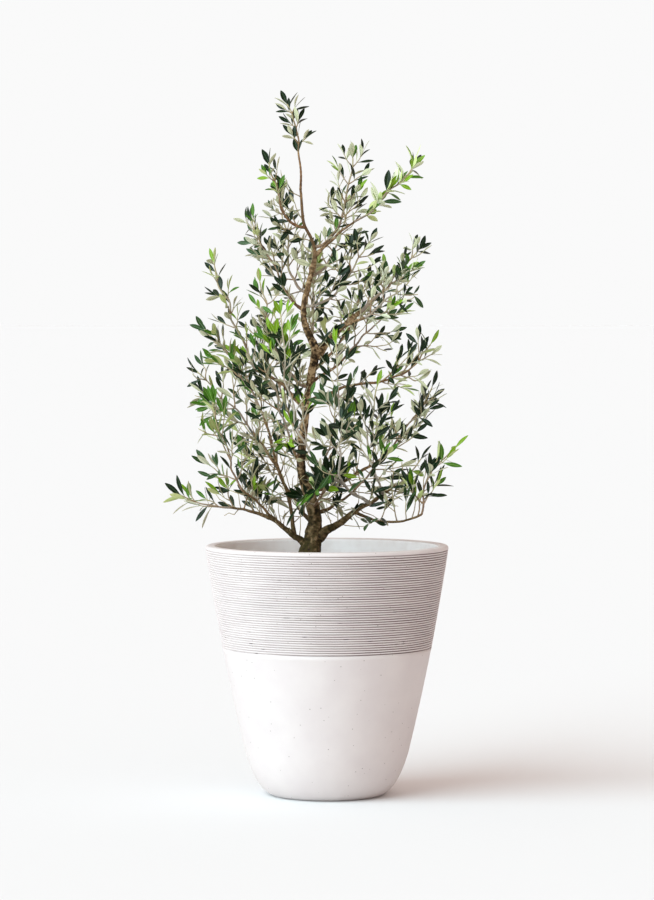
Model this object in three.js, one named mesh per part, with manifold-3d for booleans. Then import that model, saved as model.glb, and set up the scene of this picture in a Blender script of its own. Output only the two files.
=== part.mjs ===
// A young olive tree, about a metre tall with its planter: a tapered round planter with a ribbed upper
// band, potting mix, a leaning trunk, its boughs, and masses of foliage that grow from the bough tips.
// Millimetres, +Z up. The origin is the middle of the planter's flat underside, and -Y is its front.

import * as THREE from "three";
import { mergeVertices } from "three/addons/utils/BufferGeometryUtils.js";
import Module from "manifold-3d";

// Driving dimensions of the planter
const rimRadius = 175;
const planterHeight = 358;
const footRadius = 81;
const bellyHeight = 62; // where the rounded foot runs into the straight side
const bellyRadius = 117;
const sideBulge = 3.4; // how far the side swells past a straight line
const footCorner = [102, 9]; // radius and height that the rounded foot is drawn towards
const wallThickness = 15.7;
const floorThickness = 22;
const lipRounding = 4;
const lipShoulder = 1.4; // how far the rounded edge is cut back at its middle
const innerFloorRadius = 72;
const innerCorner = [88, 38]; // radius and height where the inner floor turns up into the wall
const bandFoot = 212; // the combed band runs from here to just under the lip
const bandGrooves = 5; // its many fine grooves are drawn as a few
const grooveDepth = 1.5;
const grooveHeight = 8;
const sideBands = 3; // below the combed band
const footBands = 4;
const roundSegments = 40;

// Driving dimensions of what fills it
const soilLevel = 312;
const innerWallHeights = [70, 191, soilLevel]; // where the inner wall and the soil's side are drawn
const fitGap = 0.3; // clearance wherever one piece meets another

// Trunk: knees of its winding line as [x, y, z], and its diameter at a few heights
const trunkKnees = [
  [-31, 0, soilLevel],
  [-21, 2, 396],
  [-33, 5, 465],
  [-29.5, 0, 560],
  [-18.6, -5, 634],
  [-33, -2, 690],
  [-15.7, 5, 775],
  [-31, 3, 821],
  [-38, 0, 868],
];
const trunkThickness = [
  [soilLevel, 44],
  [328, 35],
  [350, 30],
  [380, 21],
  [457, 13.4],
  [580, 10.4],
  [629, 12.4],
  [683, 8.6],
  [757, 7.4],
  [785, 4.8],
  [868, 3.6],
];
const trunkSides = 12;
const trunkSteps = 20;

// Boughs: where each leaves its parent (a height on the trunk, or a share of the parent's length), the
// knee it bends towards, its tip, and its diameters at the fork and at the tip
const boughs = [
  { name: "bough_low_left", height: 350, knee: [-72, -8, 406], tip: [-140, -20, 413], thick: [11.5, 3.2] },
  { name: "bough_left_upright", parent: "bough_low_left", share: 0.42,
    knee: [-92, -30, 418], tip: [-122, -46, 440], thick: [4, 3] },
  { name: "bough_low_left_back", height: 386, knee: [-46, 30, 412], tip: [-62, 50, 444], thick: [6, 3.4] },
  { name: "bough_front_left", height: 470, knee: [-40, -36, 484], tip: [-54, -58, 518], thick: [5, 3] },
  { name: "bough_left_mid", parent: "bough_low_left", share: 0.22,
    knee: [-58, -10, 446], tip: [-90, -28, 542], thick: [6, 3.4] },
  { name: "bough_left_mid_low", parent: "bough_left_mid", share: 0.45,
    knee: [-74, 8, 478], tip: [-108, 18, 520], thick: [4, 3] },
  { name: "bough_left_upper", height: 552, knee: [-65, 0, 600], tip: [-104, 0, 608], thick: [8, 4] },
  { name: "bough_left_mid_back", height: 505, knee: [-46, 36, 530], tip: [-60, 56, 558], thick: [5, 3.2] },
  { name: "bough_low_right", height: 362, knee: [20, -8, 398], tip: [100, -15, 445], thick: [15, 3.6] },
  { name: "bough_low_right_lower", parent: "bough_low_right", share: 0.5,
    knee: [90, -40, 374], tip: [136, -50, 406], thick: [4.4, 3] },
  { name: "bough_centre_front", parent: "bough_low_right", share: 0.68,
    knee: [5, -58, 452], tip: [-24, -72, 494], thick: [5, 3.4] },
  { name: "bough_centre_right_front", parent: "bough_centre_front", share: 0.45,
    knee: [16, -80, 460], tip: [18, -92, 480], thick: [4, 3] },
  { name: "bough_right_inner", parent: "bough_low_right", share: 0.84,
    knee: [76, -44, 444], tip: [68, -58, 462], thick: [4, 3] },
  { name: "bough_right_mid_low", height: 433, knee: [44, 10, 450], tip: [76, 16, 480], thick: [7, 3.6] },
  { name: "bough_right_mid", height: 562, knee: [26, -6, 590], tip: [66, -10, 590], thick: [6.4, 3.6] },
  { name: "bough_right_mid_up", height: 590, knee: [10, 20, 606], tip: [34, 28, 636], thick: [4.6, 3.2] },
  { name: "bough_right_upper", height: 628, knee: [15, 0, 668], tip: [50, 0, 693], thick: [14, 6] },
  { name: "bough_right_upper_front", parent: "bough_right_upper", share: 0.55,
    knee: [36, -26, 676], tip: [56, -38, 684], thick: [4.6, 3.2] },
  { name: "bough_right_upper_back", height: 606, knee: [5, 40, 626], tip: [20, 58, 650], thick: [5, 3.2] },
  { name: "bough_upper_left", height: 694, knee: [-52, -6, 708], tip: [-62, -8, 726], thick: [4.6, 3.2] },
  { name: "bough_upper_right", height: 770, knee: [8, 0, 800], tip: [41, 0, 821], thick: [4.8, 3] },
  { name: "bough_low_back", height: 420, knee: [-14, 46, 434], tip: [-8, 68, 458], thick: [5.6, 3.4] },
  { name: "bough_low_back_right", height: 402, knee: [24, 40, 416], tip: [42, 62, 436], thick: [5.6, 3.4] },
];
const boughSides = 5;
const boughSteps = 4;
const boughTaper = 1.6; // a bough gets thin sooner the higher this is

// Masses of foliage: the bough (or the trunk's tip, or a height on the trunk) that each grows from, the
// furthest leaf tip it reaches, how far its side twigs spread, and the seed of its branching. A stem bends
// on its way there, at a given point where it doesn't simply run on from its bough.
const masses = [
  { name: "foliage_low_left", from: "bough_low_left", reach: [-233, -22, 447], bend: [-185, -21, 415],
    spread: 50, seed: 52 },
  { name: "foliage_left_upright", from: "bough_left_upright", reach: [-166, -66, 590],
    bend: [-150, -58, 490], spread: 60, seed: 12 },
  { name: "foliage_low_left_back", from: "bough_low_left_back",
    reach: [-140, 104, 552], spread: 66, seed: 13 },
  { name: "foliage_front_left", from: "bough_front_left", reach: [-96, -118, 646], spread: 62, seed: 14 },
  { name: "foliage_left_mid_low", from: "bough_left_mid_low", reach: [-204, 22, 624], spread: 62, seed: 15 },
  { name: "foliage_left_mid", from: "bough_left_mid", reach: [-190, -30, 684], spread: 62, seed: 16 },
  { name: "foliage_left_upper", from: "bough_left_upper", reach: [-168, 0, 784], bend: [-128, 0, 650],
    spread: 44, seed: 17 },
  { name: "foliage_left_mid_back", from: "bough_left_mid_back",
    reach: [-112, 122, 690], spread: 62, seed: 18 },
  { name: "foliage_low_right", from: "bough_low_right", reach: [146, 14, 502], spread: 54, seed: 51 },
  { name: "foliage_low_right_tip", from: "bough_low_right_lower", reach: [204, -44, 514],
    bend: [141, -56, 470], spread: 50, seed: 20 },
  { name: "foliage_centre_front", from: "bough_centre_front", reach: [-66, -96, 712], spread: 62, seed: 21 },
  { name: "foliage_centre_right_front", from: "bough_centre_right_front",
    reach: [10, -124, 670], spread: 58, seed: 22 },
  { name: "foliage_right_inner", from: "bough_right_inner", reach: [74, -108, 612], spread: 60, seed: 23 },
  { name: "foliage_right_mid_low", from: "bough_right_mid_low", reach: [164, 34, 606], spread: 60, seed: 24 },
  { name: "foliage_right_mid", from: "bough_right_mid", reach: [163, -26, 664], spread: 60, seed: 53 },
  { name: "foliage_right_mid_up", from: "bough_right_mid_up", reach: [112, 52, 718], spread: 56, seed: 26 },
  { name: "foliage_right_upper", from: "bough_right_upper", reach: [145, 6, 799], spread: 60, seed: 27 },
  { name: "foliage_right_upper_front", from: "bough_right_upper_front",
    reach: [132, -66, 752], spread: 56, seed: 28 },
  { name: "foliage_right_upper_back", from: "bough_right_upper_back",
    reach: [66, 118, 762], spread: 60, seed: 29 },
  { name: "foliage_upper_left", from: "bough_upper_left", reach: [-116, -14, 842], spread: 58, seed: 30 },
  { name: "foliage_upper_right", from: "bough_upper_right", reach: [135, 0, 925], bend: [100, 0, 856],
    spread: 34, seed: 57 },
  { name: "foliage_leader", from: "trunk", reach: [-70, 0, 1006], bend: [-37, 0, 958],
    spread: 38, seed: 35 },
  { name: "foliage_low_back", from: "bough_low_back", reach: [18, 162, 572], spread: 66, seed: 37 },
  { name: "foliage_low_back_right", from: "bough_low_back_right",
    reach: [114, 130, 538], spread: 64, seed: 38 },
  { name: "foliage_low_front", height: 414, reach: [10, -84, 490], spread: 50, seed: 36 },
  { name: "foliage_front_upper_left", height: 585, reach: [-98, -52, 756], spread: 54, seed: 39 },
  { name: "foliage_upper_back", height: 650, reach: [-22, 104, 806], spread: 58, seed: 31 },
  { name: "foliage_upper_left_back", height: 720, reach: [-66, 60, 868], spread: 50, seed: 40 },
  { name: "foliage_upper_right_low", height: 700, reach: [72, -30, 812], spread: 54, seed: 41 },
  { name: "foliage_upper_right_back", height: 742, reach: [34, 62, 862], spread: 50, seed: 42 },
  { name: "foliage_upper_centre", height: 784, reach: [38, 18, 938], spread: 52, seed: 33 },
  { name: "foliage_top_left", height: 812, reach: [-86, -14, 926], spread: 46, seed: 34 },
];

// Outline of the crown: heights, and how far it reaches to the left and to the right there
const crownOutline = [
  [378, 190, 165],
  [415, 238, 170],
  [450, 238, 200],
  [480, 208, 208],
  [525, 206, 208],
  [550, 206, 176],
  [640, 208, 170],
  [700, 192, 158],
  [790, 178, 152],
  [840, 118, 150],
  [930, 96, 142],
  [965, 90, 70],
  [1100, 90, 30],
];
const crownDepth = 0.92; // its reach to the front and back, as a share of its mean reach to the sides

// How every mass branches. Leaves sit in pairs, each pair a quarter turn round from the last.
const nodeSpacing = 23; // between leaf pairs along a stem
const twigNodeSpacing = 25;
const leafLength = 48;
const leafWidth = 14;
const leafKeel = 1.5; // depth of the rib under a leaf
const leafWidest = 0.46; // share of its length at which a leaf is widest
const leafDeepest = 0.28; // and at which its rib is deepest
const leafDroop = 0.04; // how far its tip hangs, as a share of its length
const leafSunk = 1.2; // how far its root lies past the middle of its twig
const leafAngles = [44, 24]; // degrees from its twig, and where that has no room
const leafStray = 16; // degrees that those angles vary
const leafRoll = 1.2; // radians that leaves vary in their turn about their own line
const endLeafShare = 0.94; // length of a twig's end leaf, as a share of a full one
const twigAngle = 48; // degrees from its stem
const twigOnward = 0.3; // how strongly a twig bends the way its stem grows
const twigRise = 0.25; // and how strongly it bends upwards
const twigStray = 18; // degrees that its angle varies
const spreadLoss = 0.55; // how much shorter the side twigs are at a stem's tip
const twigMargin = 1.5; // half the room that a twig takes beside a limb
const twigStretches = [1, 0.7]; // share of a twig's length, and where that has no room
const twigThickness = [3.8, 2.6];
const trunkShootThickness = 5.2; // of a stem that grows straight from the trunk
const stemTipThickness = 2.8;
const stemBend = 0.3; // share of its reach that a stem runs on straight before it bends
const stemShare = 0.9; // thickness of a stem at its foot, as a share of its bough's tip
const stemSteps = 4;
const twigSides = 3;
const spaceMargin = 1.8; // two masses keep this far apart
const limbMargin = 1.6; // leaves and twigs keep this far from a limb
const leafRoom = 5; // the middle lines of two leaves of a mass keep this far apart
const lowestFoliage = 378; // nothing hangs onto the planter's rim
const fusedTolerance = 0.2; // how far small edges may move where leaves and twigs are fused

const wasm = await Module();
wasm.setup();
const up = new THREE.Vector3(0, 0, 1);
const point = (xyz) => new THREE.Vector3(...xyz);

// Solids and geometries

// A closed three.js geometry as a solid that can be joined and cut.
function solidFrom(geometry) {
  const bare = new THREE.BufferGeometry();
  bare.setAttribute("position", geometry.getAttribute("position"));
  bare.setIndex(geometry.getIndex());
  const merged = mergeVertices(bare, 1e-4);
  return new wasm.Manifold(
    new wasm.Mesh({
      numProp: 3,
      vertProperties: merged.getAttribute("position").array,
      triVerts: new Uint32Array(merged.getIndex().array),
    }),
  );
}

// A solid back as a three.js geometry.
function geometryFrom(solid) {
  const mesh = solid.getMesh();
  const geometry = new THREE.BufferGeometry();
  geometry.setAttribute("position", new THREE.BufferAttribute(mesh.vertProperties, 3));
  geometry.setIndex(new THREE.BufferAttribute(mesh.triVerts, 1));
  geometry.computeVertexNormals();
  return geometry;
}

// The largest body of a solid: loose scraps are dropped and sealed hollows are filled.
function largestBody(solid) {
  return solid.decompose().reduce((best, body) => (body.volume() > best.volume() ? body : best));
}

// A profile of [radius, height] pairs turned about the Z axis.
function turned(profile) {
  const outline = profile.map(([radius, height]) => new THREE.Vector2(radius, height));
  return new THREE.LatheGeometry(outline, roundSegments).rotateX(Math.PI / 2);
}

// The planter and its filling

// Outer radius of the planter's side at a height above the rounded foot.
function sideRadius(height) {
  const share = (height - bellyHeight) / (planterHeight - bellyHeight);
  const straight = bellyRadius + (rimRadius - bellyRadius) * share;
  return straight + sideBulge * 4 * share * (1 - share);
}

// Outer profile from the edge of the flat foot to just under the lip.
function outerProfile() {
  const foot = new THREE.QuadraticBezierCurve(
    new THREE.Vector2(footRadius, 0),
    new THREE.Vector2(...footCorner),
    new THREE.Vector2(bellyRadius, bellyHeight),
  );
  const profile = foot.getPoints(footBands).map((p) => [p.x, p.y]);
  for (let band = 1; band <= sideBands; band += 1) {
    const height = bellyHeight + ((bandFoot - bellyHeight) * band) / sideBands;
    profile.push([sideRadius(height), height]);
  }
  const lipFoot = planterHeight - lipRounding;
  for (let groove = 0; groove < bandGrooves; groove += 1) {
    const height = bandFoot + ((lipFoot - bandFoot) * (groove + 0.5)) / bandGrooves;
    const edges = [height - grooveHeight / 2, height + grooveHeight / 2];
    profile.push([sideRadius(edges[0]), edges[0]]);
    profile.push([sideRadius(height) - grooveDepth, height]);
    profile.push([sideRadius(edges[1]), edges[1]]);
  }
  profile.push([sideRadius(lipFoot), lipFoot]);
  return profile;
}

// Inner profile from the middle of the floor up to the soil level, at a clearance from the wall.
function innerProfile(clearance) {
  const [cornerRadius, cornerHeight] = innerCorner;
  const profile = [
    [0, floorThickness],
    [innerFloorRadius - clearance, floorThickness],
    [cornerRadius - clearance, cornerHeight],
  ];
  for (const height of innerWallHeights) {
    profile.push([sideRadius(height) - wallThickness - clearance, height]);
  }
  return profile;
}

function planterGeometry() {
  const outerEdge = sideRadius(planterHeight - lipRounding);
  const innerEdge = rimRadius - wallThickness;
  const lip = [
    [outerEdge - lipShoulder, planterHeight - lipShoulder],
    [outerEdge - lipRounding, planterHeight],
    [innerEdge + lipRounding, planterHeight],
    [innerEdge + lipShoulder, planterHeight - lipShoulder],
    [outerEdge - wallThickness, planterHeight - lipRounding],
  ];
  return turned([[0, 0], ...outerProfile(), ...lip, ...innerProfile(0).reverse()]);
}

function soilGeometry() {
  return turned([...innerProfile(fitGap), [0, soilLevel]]);
}

// Limbs: a limb is a row of stations, each with its point, its radius and the way the limb runs there

function stationsAlong(curve, steps, radiusAt) {
  const stations = [];
  for (let step = 0; step <= steps; step += 1) {
    const share = step / steps;
    const place = curve.getPointAt(share);
    stations.push({ point: place, way: curve.getTangentAt(share), radius: radiusAt(share, place) });
  }
  return stations;
}

// The tapered tube round a row of stations, made from a cylinder whose rings are carried to them.
function tubeGeometry(stations, sides, growth = 0) {
  const steps = stations.length - 1;
  const tube = new THREE.CylinderGeometry(1, 1, 1, sides, steps);
  const across = [];
  let side = new THREE.Vector3(1, 0, 0);
  for (const { way } of stations) {
    side = side.clone().addScaledVector(way, -side.dot(way));
    if (side.length() < 0.2) side.set(0, 1, 0).addScaledVector(way, -way.y);
    side.normalize();
    across.push([side, side.clone().cross(way)]);
  }
  const corners = tube.getAttribute("position");
  const corner = new THREE.Vector3();
  for (let i = 0; i < corners.count; i += 1) {
    corner.fromBufferAttribute(corners, i);
    const ring = Math.round((corner.y + 0.5) * steps);
    const radius = stations[ring].radius + growth;
    const placed = stations[ring].point
      .clone()
      .addScaledVector(across[ring][0], corner.x * radius)
      .addScaledVector(across[ring][1], corner.z * radius);
    corners.setXYZ(i, placed.x, placed.y, placed.z);
  }
  return tube;
}

function thicknessAt(height) {
  const above = trunkThickness.findIndex(([level]) => level > height);
  if (above < 0) return trunkThickness.at(-1)[1];
  const [[lowLevel, lowThickness], [highLevel, highThickness]] = trunkThickness.slice(above - 1);
  const share = (height - lowLevel) / (highLevel - lowLevel);
  return lowThickness + (highThickness - lowThickness) * share;
}

function trunkStations() {
  const line = new THREE.CatmullRomCurve3(trunkKnees.map(point), false, "catmullrom");
  const stations = stationsAlong(line, trunkSteps, (_, place) => thicknessAt(place.z) / 2);
  stations[0].way = up.clone(); // so that the foot is cut level with the soil
  return stations;
}

// The place on a limb at a share of its length.
function placeAtShare(stations, share) {
  const step = share * (stations.length - 1);
  const low = Math.min(Math.floor(step), stations.length - 2);
  return stations[low].point.clone().lerp(stations[low + 1].point, step - low);
}

// The place on a rising limb at a height.
function placeAtHeight(stations, height) {
  const above = stations.findIndex((station) => station.point.z > height);
  const low = stations[above - 1].point;
  const high = stations[above].point;
  return low.clone().lerp(high, (height - low.z) / (high.z - low.z));
}

function boughStations(bough, parentStations) {
  const start = bough.parent
    ? placeAtShare(parentStations, bough.share)
    : placeAtHeight(parentStations, bough.height);
  const line = new THREE.QuadraticBezierCurve3(start, point(bough.knee), point(bough.tip));
  const [forkThickness, tipThickness] = bough.thick;
  return stationsAlong(
    line,
    boughSteps,
    (share) => (tipThickness + (forkThickness - tipThickness) * (1 - share) ** boughTaper) / 2,
  );
}

const limbs = new Map([["trunk", { stations: trunkStations(), sides: trunkSides }]]);
for (const bough of boughs) {
  const parent = bough.parent ?? "trunk";
  const stations = boughStations(bough, limbs.get(parent).stations);
  limbs.set(bough.name, { stations, sides: boughSides, parent });
}

function limbSolid(limb, growth = 0) {
  return solidFrom(tubeGeometry(limb.stations, limb.sides, growth));
}

// Foliage

// Even random numbers from 0 to 1, the same for the same seed.
function randomFrom(seed) {
  let state = seed * 7919;
  const next = () => {
    state = (Math.imul(state, 1664525) + 1013904223) >>> 0;
    return state / 2 ** 32;
  };
  next();
  next();
  return next;
}

// The stem of a mass: it goes on the way its bough ends, or to its own bend, and then towards the furthest
// leaf tip.
function stemStations(mass) {
  let start;
  let way;
  let baseRadius;
  if (mass.from) {
    const end = limbs.get(mass.from).stations.at(-1);
    way = end.way.clone();
    start = end.point.clone().addScaledVector(way, fitGap);
    baseRadius = end.radius * stemShare;
  } else {
    start = placeAtHeight(limbs.get("trunk").stations, mass.height);
    way = point(mass.reach).sub(start).setZ(0).normalize();
    baseRadius = trunkShootThickness / 2;
  }
  const goal = point(mass.reach);
  const length = start.distanceTo(goal);
  const bend = mass.bend ? point(mass.bend) : start.clone().addScaledVector(way, length * stemBend);
  const tip = goal.clone().addScaledVector(goal.clone().sub(bend).normalize(), -leafLength);
  const line = new THREE.QuadraticBezierCurve3(start, bend, tip);
  const tipRadius = stemTipThickness / 2;
  const stations = stationsAlong(line, stemSteps, (share) => baseRadius + (tipRadius - baseRadius) * share);
  stations[0].way = way; // so that its foot lies flat against the bough's end
  return stations;
}

const stems = masses.map((mass) => stemStations(mass));

// Distance from a place to a row of stations.
function distanceTo(stations, place) {
  const piece = new THREE.Line3();
  const nearest = new THREE.Vector3();
  let least = Infinity;
  for (let i = 1; i < stations.length; i += 1) {
    piece.set(stations[i - 1].point, stations[i].point);
    piece.closestPointToPoint(place, true, nearest);
    least = Math.min(least, nearest.distanceTo(place));
  }
  return least;
}

// The crown's outline is an ellipse at every height.
function inCrown(place) {
  const above = crownOutline.findIndex(([height]) => height > place.z);
  const [lowRow, highRow] = crownOutline.slice(above - 1);
  const share = (place.z - lowRow[0]) / (highRow[0] - lowRow[0]);
  const [, left, right] = lowRow.map((value, i) => value + (highRow[i] - value) * share);
  const halfWidth = (left + right) / 2;
  const fromMiddle = place.x - (right - left) / 2;
  return (fromMiddle / halfWidth) ** 2 + (place.y / (halfWidth * crownDepth)) ** 2 < 1;
}

// A mass's own space holds the places in the crown that are nearer to its stem than to any other's.
function inOwnSpace(index, place) {
  if (place.z < lowestFoliage || !inCrown(place)) return false;
  const own = distanceTo(stems[index], place);
  return stems.every((stem, other) => other === index || distanceTo(stem, place) > own + spaceMargin);
}

// Whether a straight piece of twig or leaf edge keeps clear of the trunk and every bough.
function clearOfLimbs(from, to, halfThickness) {
  const edge = new THREE.Line3(from, to);
  const piece = new THREE.Line3();
  for (const { stations } of limbs.values()) {
    for (let i = 1; i < stations.length; i += 1) {
      piece.set(stations[i - 1].point, stations[i].point);
      const room = Math.max(stations[i - 1].radius, stations[i].radius) + halfThickness + limbMargin;
      if (piece.distanceSqToLine3(edge) < room * room) return false;
    }
  }
  return true;
}

// The way that leans from a shoot by an angle, towards a turn round it.
function leaning(way, turn, degrees) {
  const level = Math.abs(way.z) < 0.94 ? up : new THREE.Vector3(0, 1, 0);
  const side = way.clone().cross(level).normalize();
  const other = side.clone().cross(way);
  const out = side.multiplyScalar(Math.cos(turn)).addScaledVector(other, Math.sin(turn));
  const angle = THREE.MathUtils.degToRad(degrees);
  return way.clone().multiplyScalar(Math.cos(angle)).addScaledVector(out, Math.sin(angle)).normalize();
}

// A leaf's five corners: its root, its two widest points, the rib under it and its tip. Its upper face
// is flat and looks along the shoot.
function leafCorners(root, way, shootWay, roll, length) {
  const face = shootWay.clone().addScaledVector(way, -shootWay.dot(way));
  if (face.length() < 0.05) face.copy(up).addScaledVector(way, -way.z);
  face.normalize().applyAxisAngle(way, roll);
  const across = face.clone().cross(way);
  const width = (leafWidth * length) / leafLength;
  const middle = root.clone().addScaledVector(way, length * leafWidest);
  return [
    root.clone().addScaledVector(way, -leafSunk),
    middle.clone().addScaledVector(across, width / 2),
    middle.clone().addScaledVector(across, -width / 2),
    root.clone().addScaledVector(way, length * leafDeepest).addScaledVector(face, -leafKeel),
    root.clone().addScaledVector(way, length).addScaledVector(face, -length * leafDroop),
  ];
}

const leafFaces = [0, 1, 3, 0, 3, 2, 3, 1, 4, 3, 4, 2, 0, 2, 1, 1, 2, 4];

function leafGeometry(corners) {
  const geometry = new THREE.BufferGeometry().setFromPoints(corners);
  geometry.setIndex(leafFaces);
  return geometry;
}

// One mass: twigs branch in pairs from its stem, and leaves sit in pairs on both.
function massSolid(mass, index) {
  const random = randomFrom(mass.seed);
  const stem = stems[index];
  const pieces = [solidFrom(tubeGeometry(stem, twigSides))];
  const leafLines = [];
  const rollOf = () => (random() - 0.5) * leafRoll;

  // A leaf where its mass's space has room for it.
  function addLeaf(root, way, shootWay, roll, length) {
    const corners = leafCorners(root, way, shootWay, roll, length);
    const [, left, right, , tip] = corners;
    const middle = left.clone().lerp(right, 0.5);
    const edges = [root, left, right].map((corner) => [corner.clone().lerp(tip, 0.06), tip]);
    const line = new THREE.Line3(middle.clone().lerp(root, 0.3), tip);
    const fits =
      [left, right, tip, middle].every((corner) => inOwnSpace(index, corner)) &&
      leafLines.every((placed) => placed.distanceSqToLine3(line) > leafRoom * leafRoom) &&
      edges.every(([from, to]) => clearOfLimbs(from, to, leafKeel / 2));
    if (!fits) return false;
    leafLines.push(line);
    pieces.push(solidFrom(leafGeometry(corners)));
    return true;
  }

  // A side leaf stands off its shoot, or lies closer to it where it would leave the space.
  function addSideLeaf(root, along, turn, length) {
    const lean = (random() - 0.5) * leafStray;
    const roll = rollOf();
    leafAngles.some((angle) => addLeaf(root, leaning(along, turn, angle + lean), along, roll, length));
  }

  // A side twig with its leaf pairs and its end leaf. It bends upwards as it grows.
  function addTwig(root, way, shootWay, length, turn) {
    const bend = root.clone().addScaledVector(way, length * 0.5);
    const onward = way.clone().addScaledVector(shootWay, twigOnward).addScaledVector(up, twigRise);
    const tip = bend.clone().addScaledVector(onward.normalize(), length * 0.5);
    const fits =
      [bend, tip].every((place) => inOwnSpace(index, place)) &&
      clearOfLimbs(root, bend, twigMargin) &&
      clearOfLimbs(bend, tip, twigMargin);
    if (!fits) return false;
    const line = new THREE.QuadraticBezierCurve3(root, bend, tip);
    const [thickBase, thickTip] = twigThickness;
    const twig = stationsAlong(line, 2, (share) => (thickBase + (thickTip - thickBase) * share) / 2);
    pieces.push(solidFrom(tubeGeometry(twig, twigSides)));
    const nodes = Math.max(1, Math.floor(length / twigNodeSpacing));
    for (let node = 1; node <= nodes; node += 1) {
      const share = node / (nodes + 0.25);
      const pairTurn = turn + (node * Math.PI) / 2;
      for (const half of [0, Math.PI]) {
        const sideLength = leafLength * (0.86 + 0.2 * random());
        addSideLeaf(line.getPointAt(share), line.getTangentAt(share), pairTurn + half, sideLength);
      }
    }
    addLeaf(line.getPointAt(0.96), line.getTangentAt(1), up, rollOf(), leafLength * endLeafShare);
    return true;
  }

  const line = new THREE.CatmullRomCurve3(stem.map((station) => station.point), false, "catmullrom");
  const nodes = Math.max(2, Math.round(line.getLength() / nodeSpacing));
  const firstTurn = random() * Math.PI;
  for (let node = 1; node <= nodes; node += 1) {
    const share = node / (nodes + 0.35);
    const place = line.getPointAt(share);
    const along = line.getTangentAt(share);
    const turn = firstTurn + (node * Math.PI) / 2 + (random() - 0.5) * 0.5;
    const branches = node % 2 === 1 && node < nodes;
    for (const half of [0, Math.PI]) {
      const stretch = 0.82 + 0.36 * random();
      const tilt = (random() - 0.5) * twigStray;
      const twigWay = leaning(along, turn + half, twigAngle + tilt);
      const twigLength = mass.spread * (1 - spreadLoss * share) * stretch;
      const branched =
        branches && twigStretches.some((part) => addTwig(place, twigWay, along, twigLength * part, turn));
      if (!branched) addSideLeaf(place, along, turn + half, leafLength * (0.9 + 0.2 * random()));
    }
  }
  addLeaf(line.getPointAt(0.985), line.getTangentAt(1), up, rollOf(), leafLength);

  let joined = wasm.Manifold.union(pieces);
  if (!mass.from) joined = joined.subtract(limbSolid(limbs.get("trunk"), fitGap));
  return largestBody(joined.asOriginal().simplify(fusedTolerance));
}

// The tree as named meshes, each with its own material

const tree = new THREE.Group();

function addPiece(name, geometry, color, roughness) {
  const material = new THREE.MeshStandardMaterial({ color, roughness, metalness: 0 });
  const mesh = new THREE.Mesh(geometry, material);
  mesh.name = name;
  tree.add(mesh);
}

addPiece("planter", planterGeometry(), "#e4dfdb", 0.55);
addPiece("potting_mix", soilGeometry(), "#4a3a2e", 0.95);
addPiece("trunk", tubeGeometry(limbs.get("trunk").stations, trunkSides), "#7d6a52", 0.85);

for (const bough of boughs) {
  const limb = limbs.get(bough.name);
  const fork = limbSolid(limb).subtract(limbSolid(limbs.get(limb.parent), fitGap));
  addPiece(bough.name, geometryFrom(largestBody(fork)), "#8b7358", 0.85);
}

masses.forEach((mass, index) => {
  addPiece(mass.name, geometryFrom(massSolid(mass, index)), "#5d6f58", 0.6);
});

export default tree;
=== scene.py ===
# A young potted olive tree: a planter with a combed band, its potting mix, a trunk and boughs with the
# relief of bark, and shoots and leaves that grow on from the bough tips. Metres, +Z up, as in the frame.

import math

import bpy
import numpy as np
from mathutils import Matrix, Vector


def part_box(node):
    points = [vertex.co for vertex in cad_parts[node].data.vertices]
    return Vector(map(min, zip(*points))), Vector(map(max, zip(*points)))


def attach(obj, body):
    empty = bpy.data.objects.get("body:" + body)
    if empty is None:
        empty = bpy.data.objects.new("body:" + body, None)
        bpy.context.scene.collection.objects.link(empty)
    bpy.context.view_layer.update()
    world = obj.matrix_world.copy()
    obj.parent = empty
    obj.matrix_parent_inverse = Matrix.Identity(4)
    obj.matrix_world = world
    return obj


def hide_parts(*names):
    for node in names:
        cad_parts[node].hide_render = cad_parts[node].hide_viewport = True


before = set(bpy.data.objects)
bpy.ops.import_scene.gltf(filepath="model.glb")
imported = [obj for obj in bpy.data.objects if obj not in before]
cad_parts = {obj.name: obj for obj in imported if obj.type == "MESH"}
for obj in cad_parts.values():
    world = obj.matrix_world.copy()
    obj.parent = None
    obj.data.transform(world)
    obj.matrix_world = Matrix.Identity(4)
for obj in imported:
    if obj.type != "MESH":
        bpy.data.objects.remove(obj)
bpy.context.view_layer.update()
mm = 0.001
up = np.array([0.0, 0.0, 1.0])
print("frame loaded:", len(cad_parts), "nodes")


# Helpers for vectors, lines and meshes

# Vectors scaled to length one.
def unit(vectors):
    return vectors / np.maximum(np.linalg.norm(vectors, axis=-1, keepdims=True), 1e-12)


cellKeys = np.array([374761393, 668265263, 1442695041])  # large odd numbers that scramble a cell's place
seedKey, mixKey, seedStep = 97561, 1274126177, 31.7


# Smooth random values from -1 to 1 in space. Each corner of a grid of cells has a random number, the eight
# round a place are blended by 3t^2 - 2t^3, and finer grids are added at half the strength each.
def noiseAt(places, size, octaves, seed):
    total = np.zeros(places.shape[:-1])
    strength = 1.0
    reach = 0.0
    for octave in range(octaves):
        scaled = places * (2 ** octave / size) + seedStep * (seed + octave)
        cell = np.floor(scaled).astype(np.int64)
        part = scaled - cell
        blend = part * part * (3 - 2 * part)
        for corner in np.ndindex(2, 2, 2):
            code = ((cell + corner) * cellKeys).sum(axis=-1) + seed * seedKey
            code = (code ^ (code >> 13)) * mixKey
            code = (code ^ (code >> 16)) & 0xFFFF
            share = np.prod(np.where(np.array(corner) == 1, blend, 1 - blend), axis=-1)
            total += strength * share * (code / 32767.5 - 1)
        reach += strength
        strength /= 2
    return total / reach


# How far along a line each of its points lies.
def runOf(line):
    return np.append(0, np.cumsum(np.linalg.norm(np.diff(line, axis=0), axis=1)))


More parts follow.
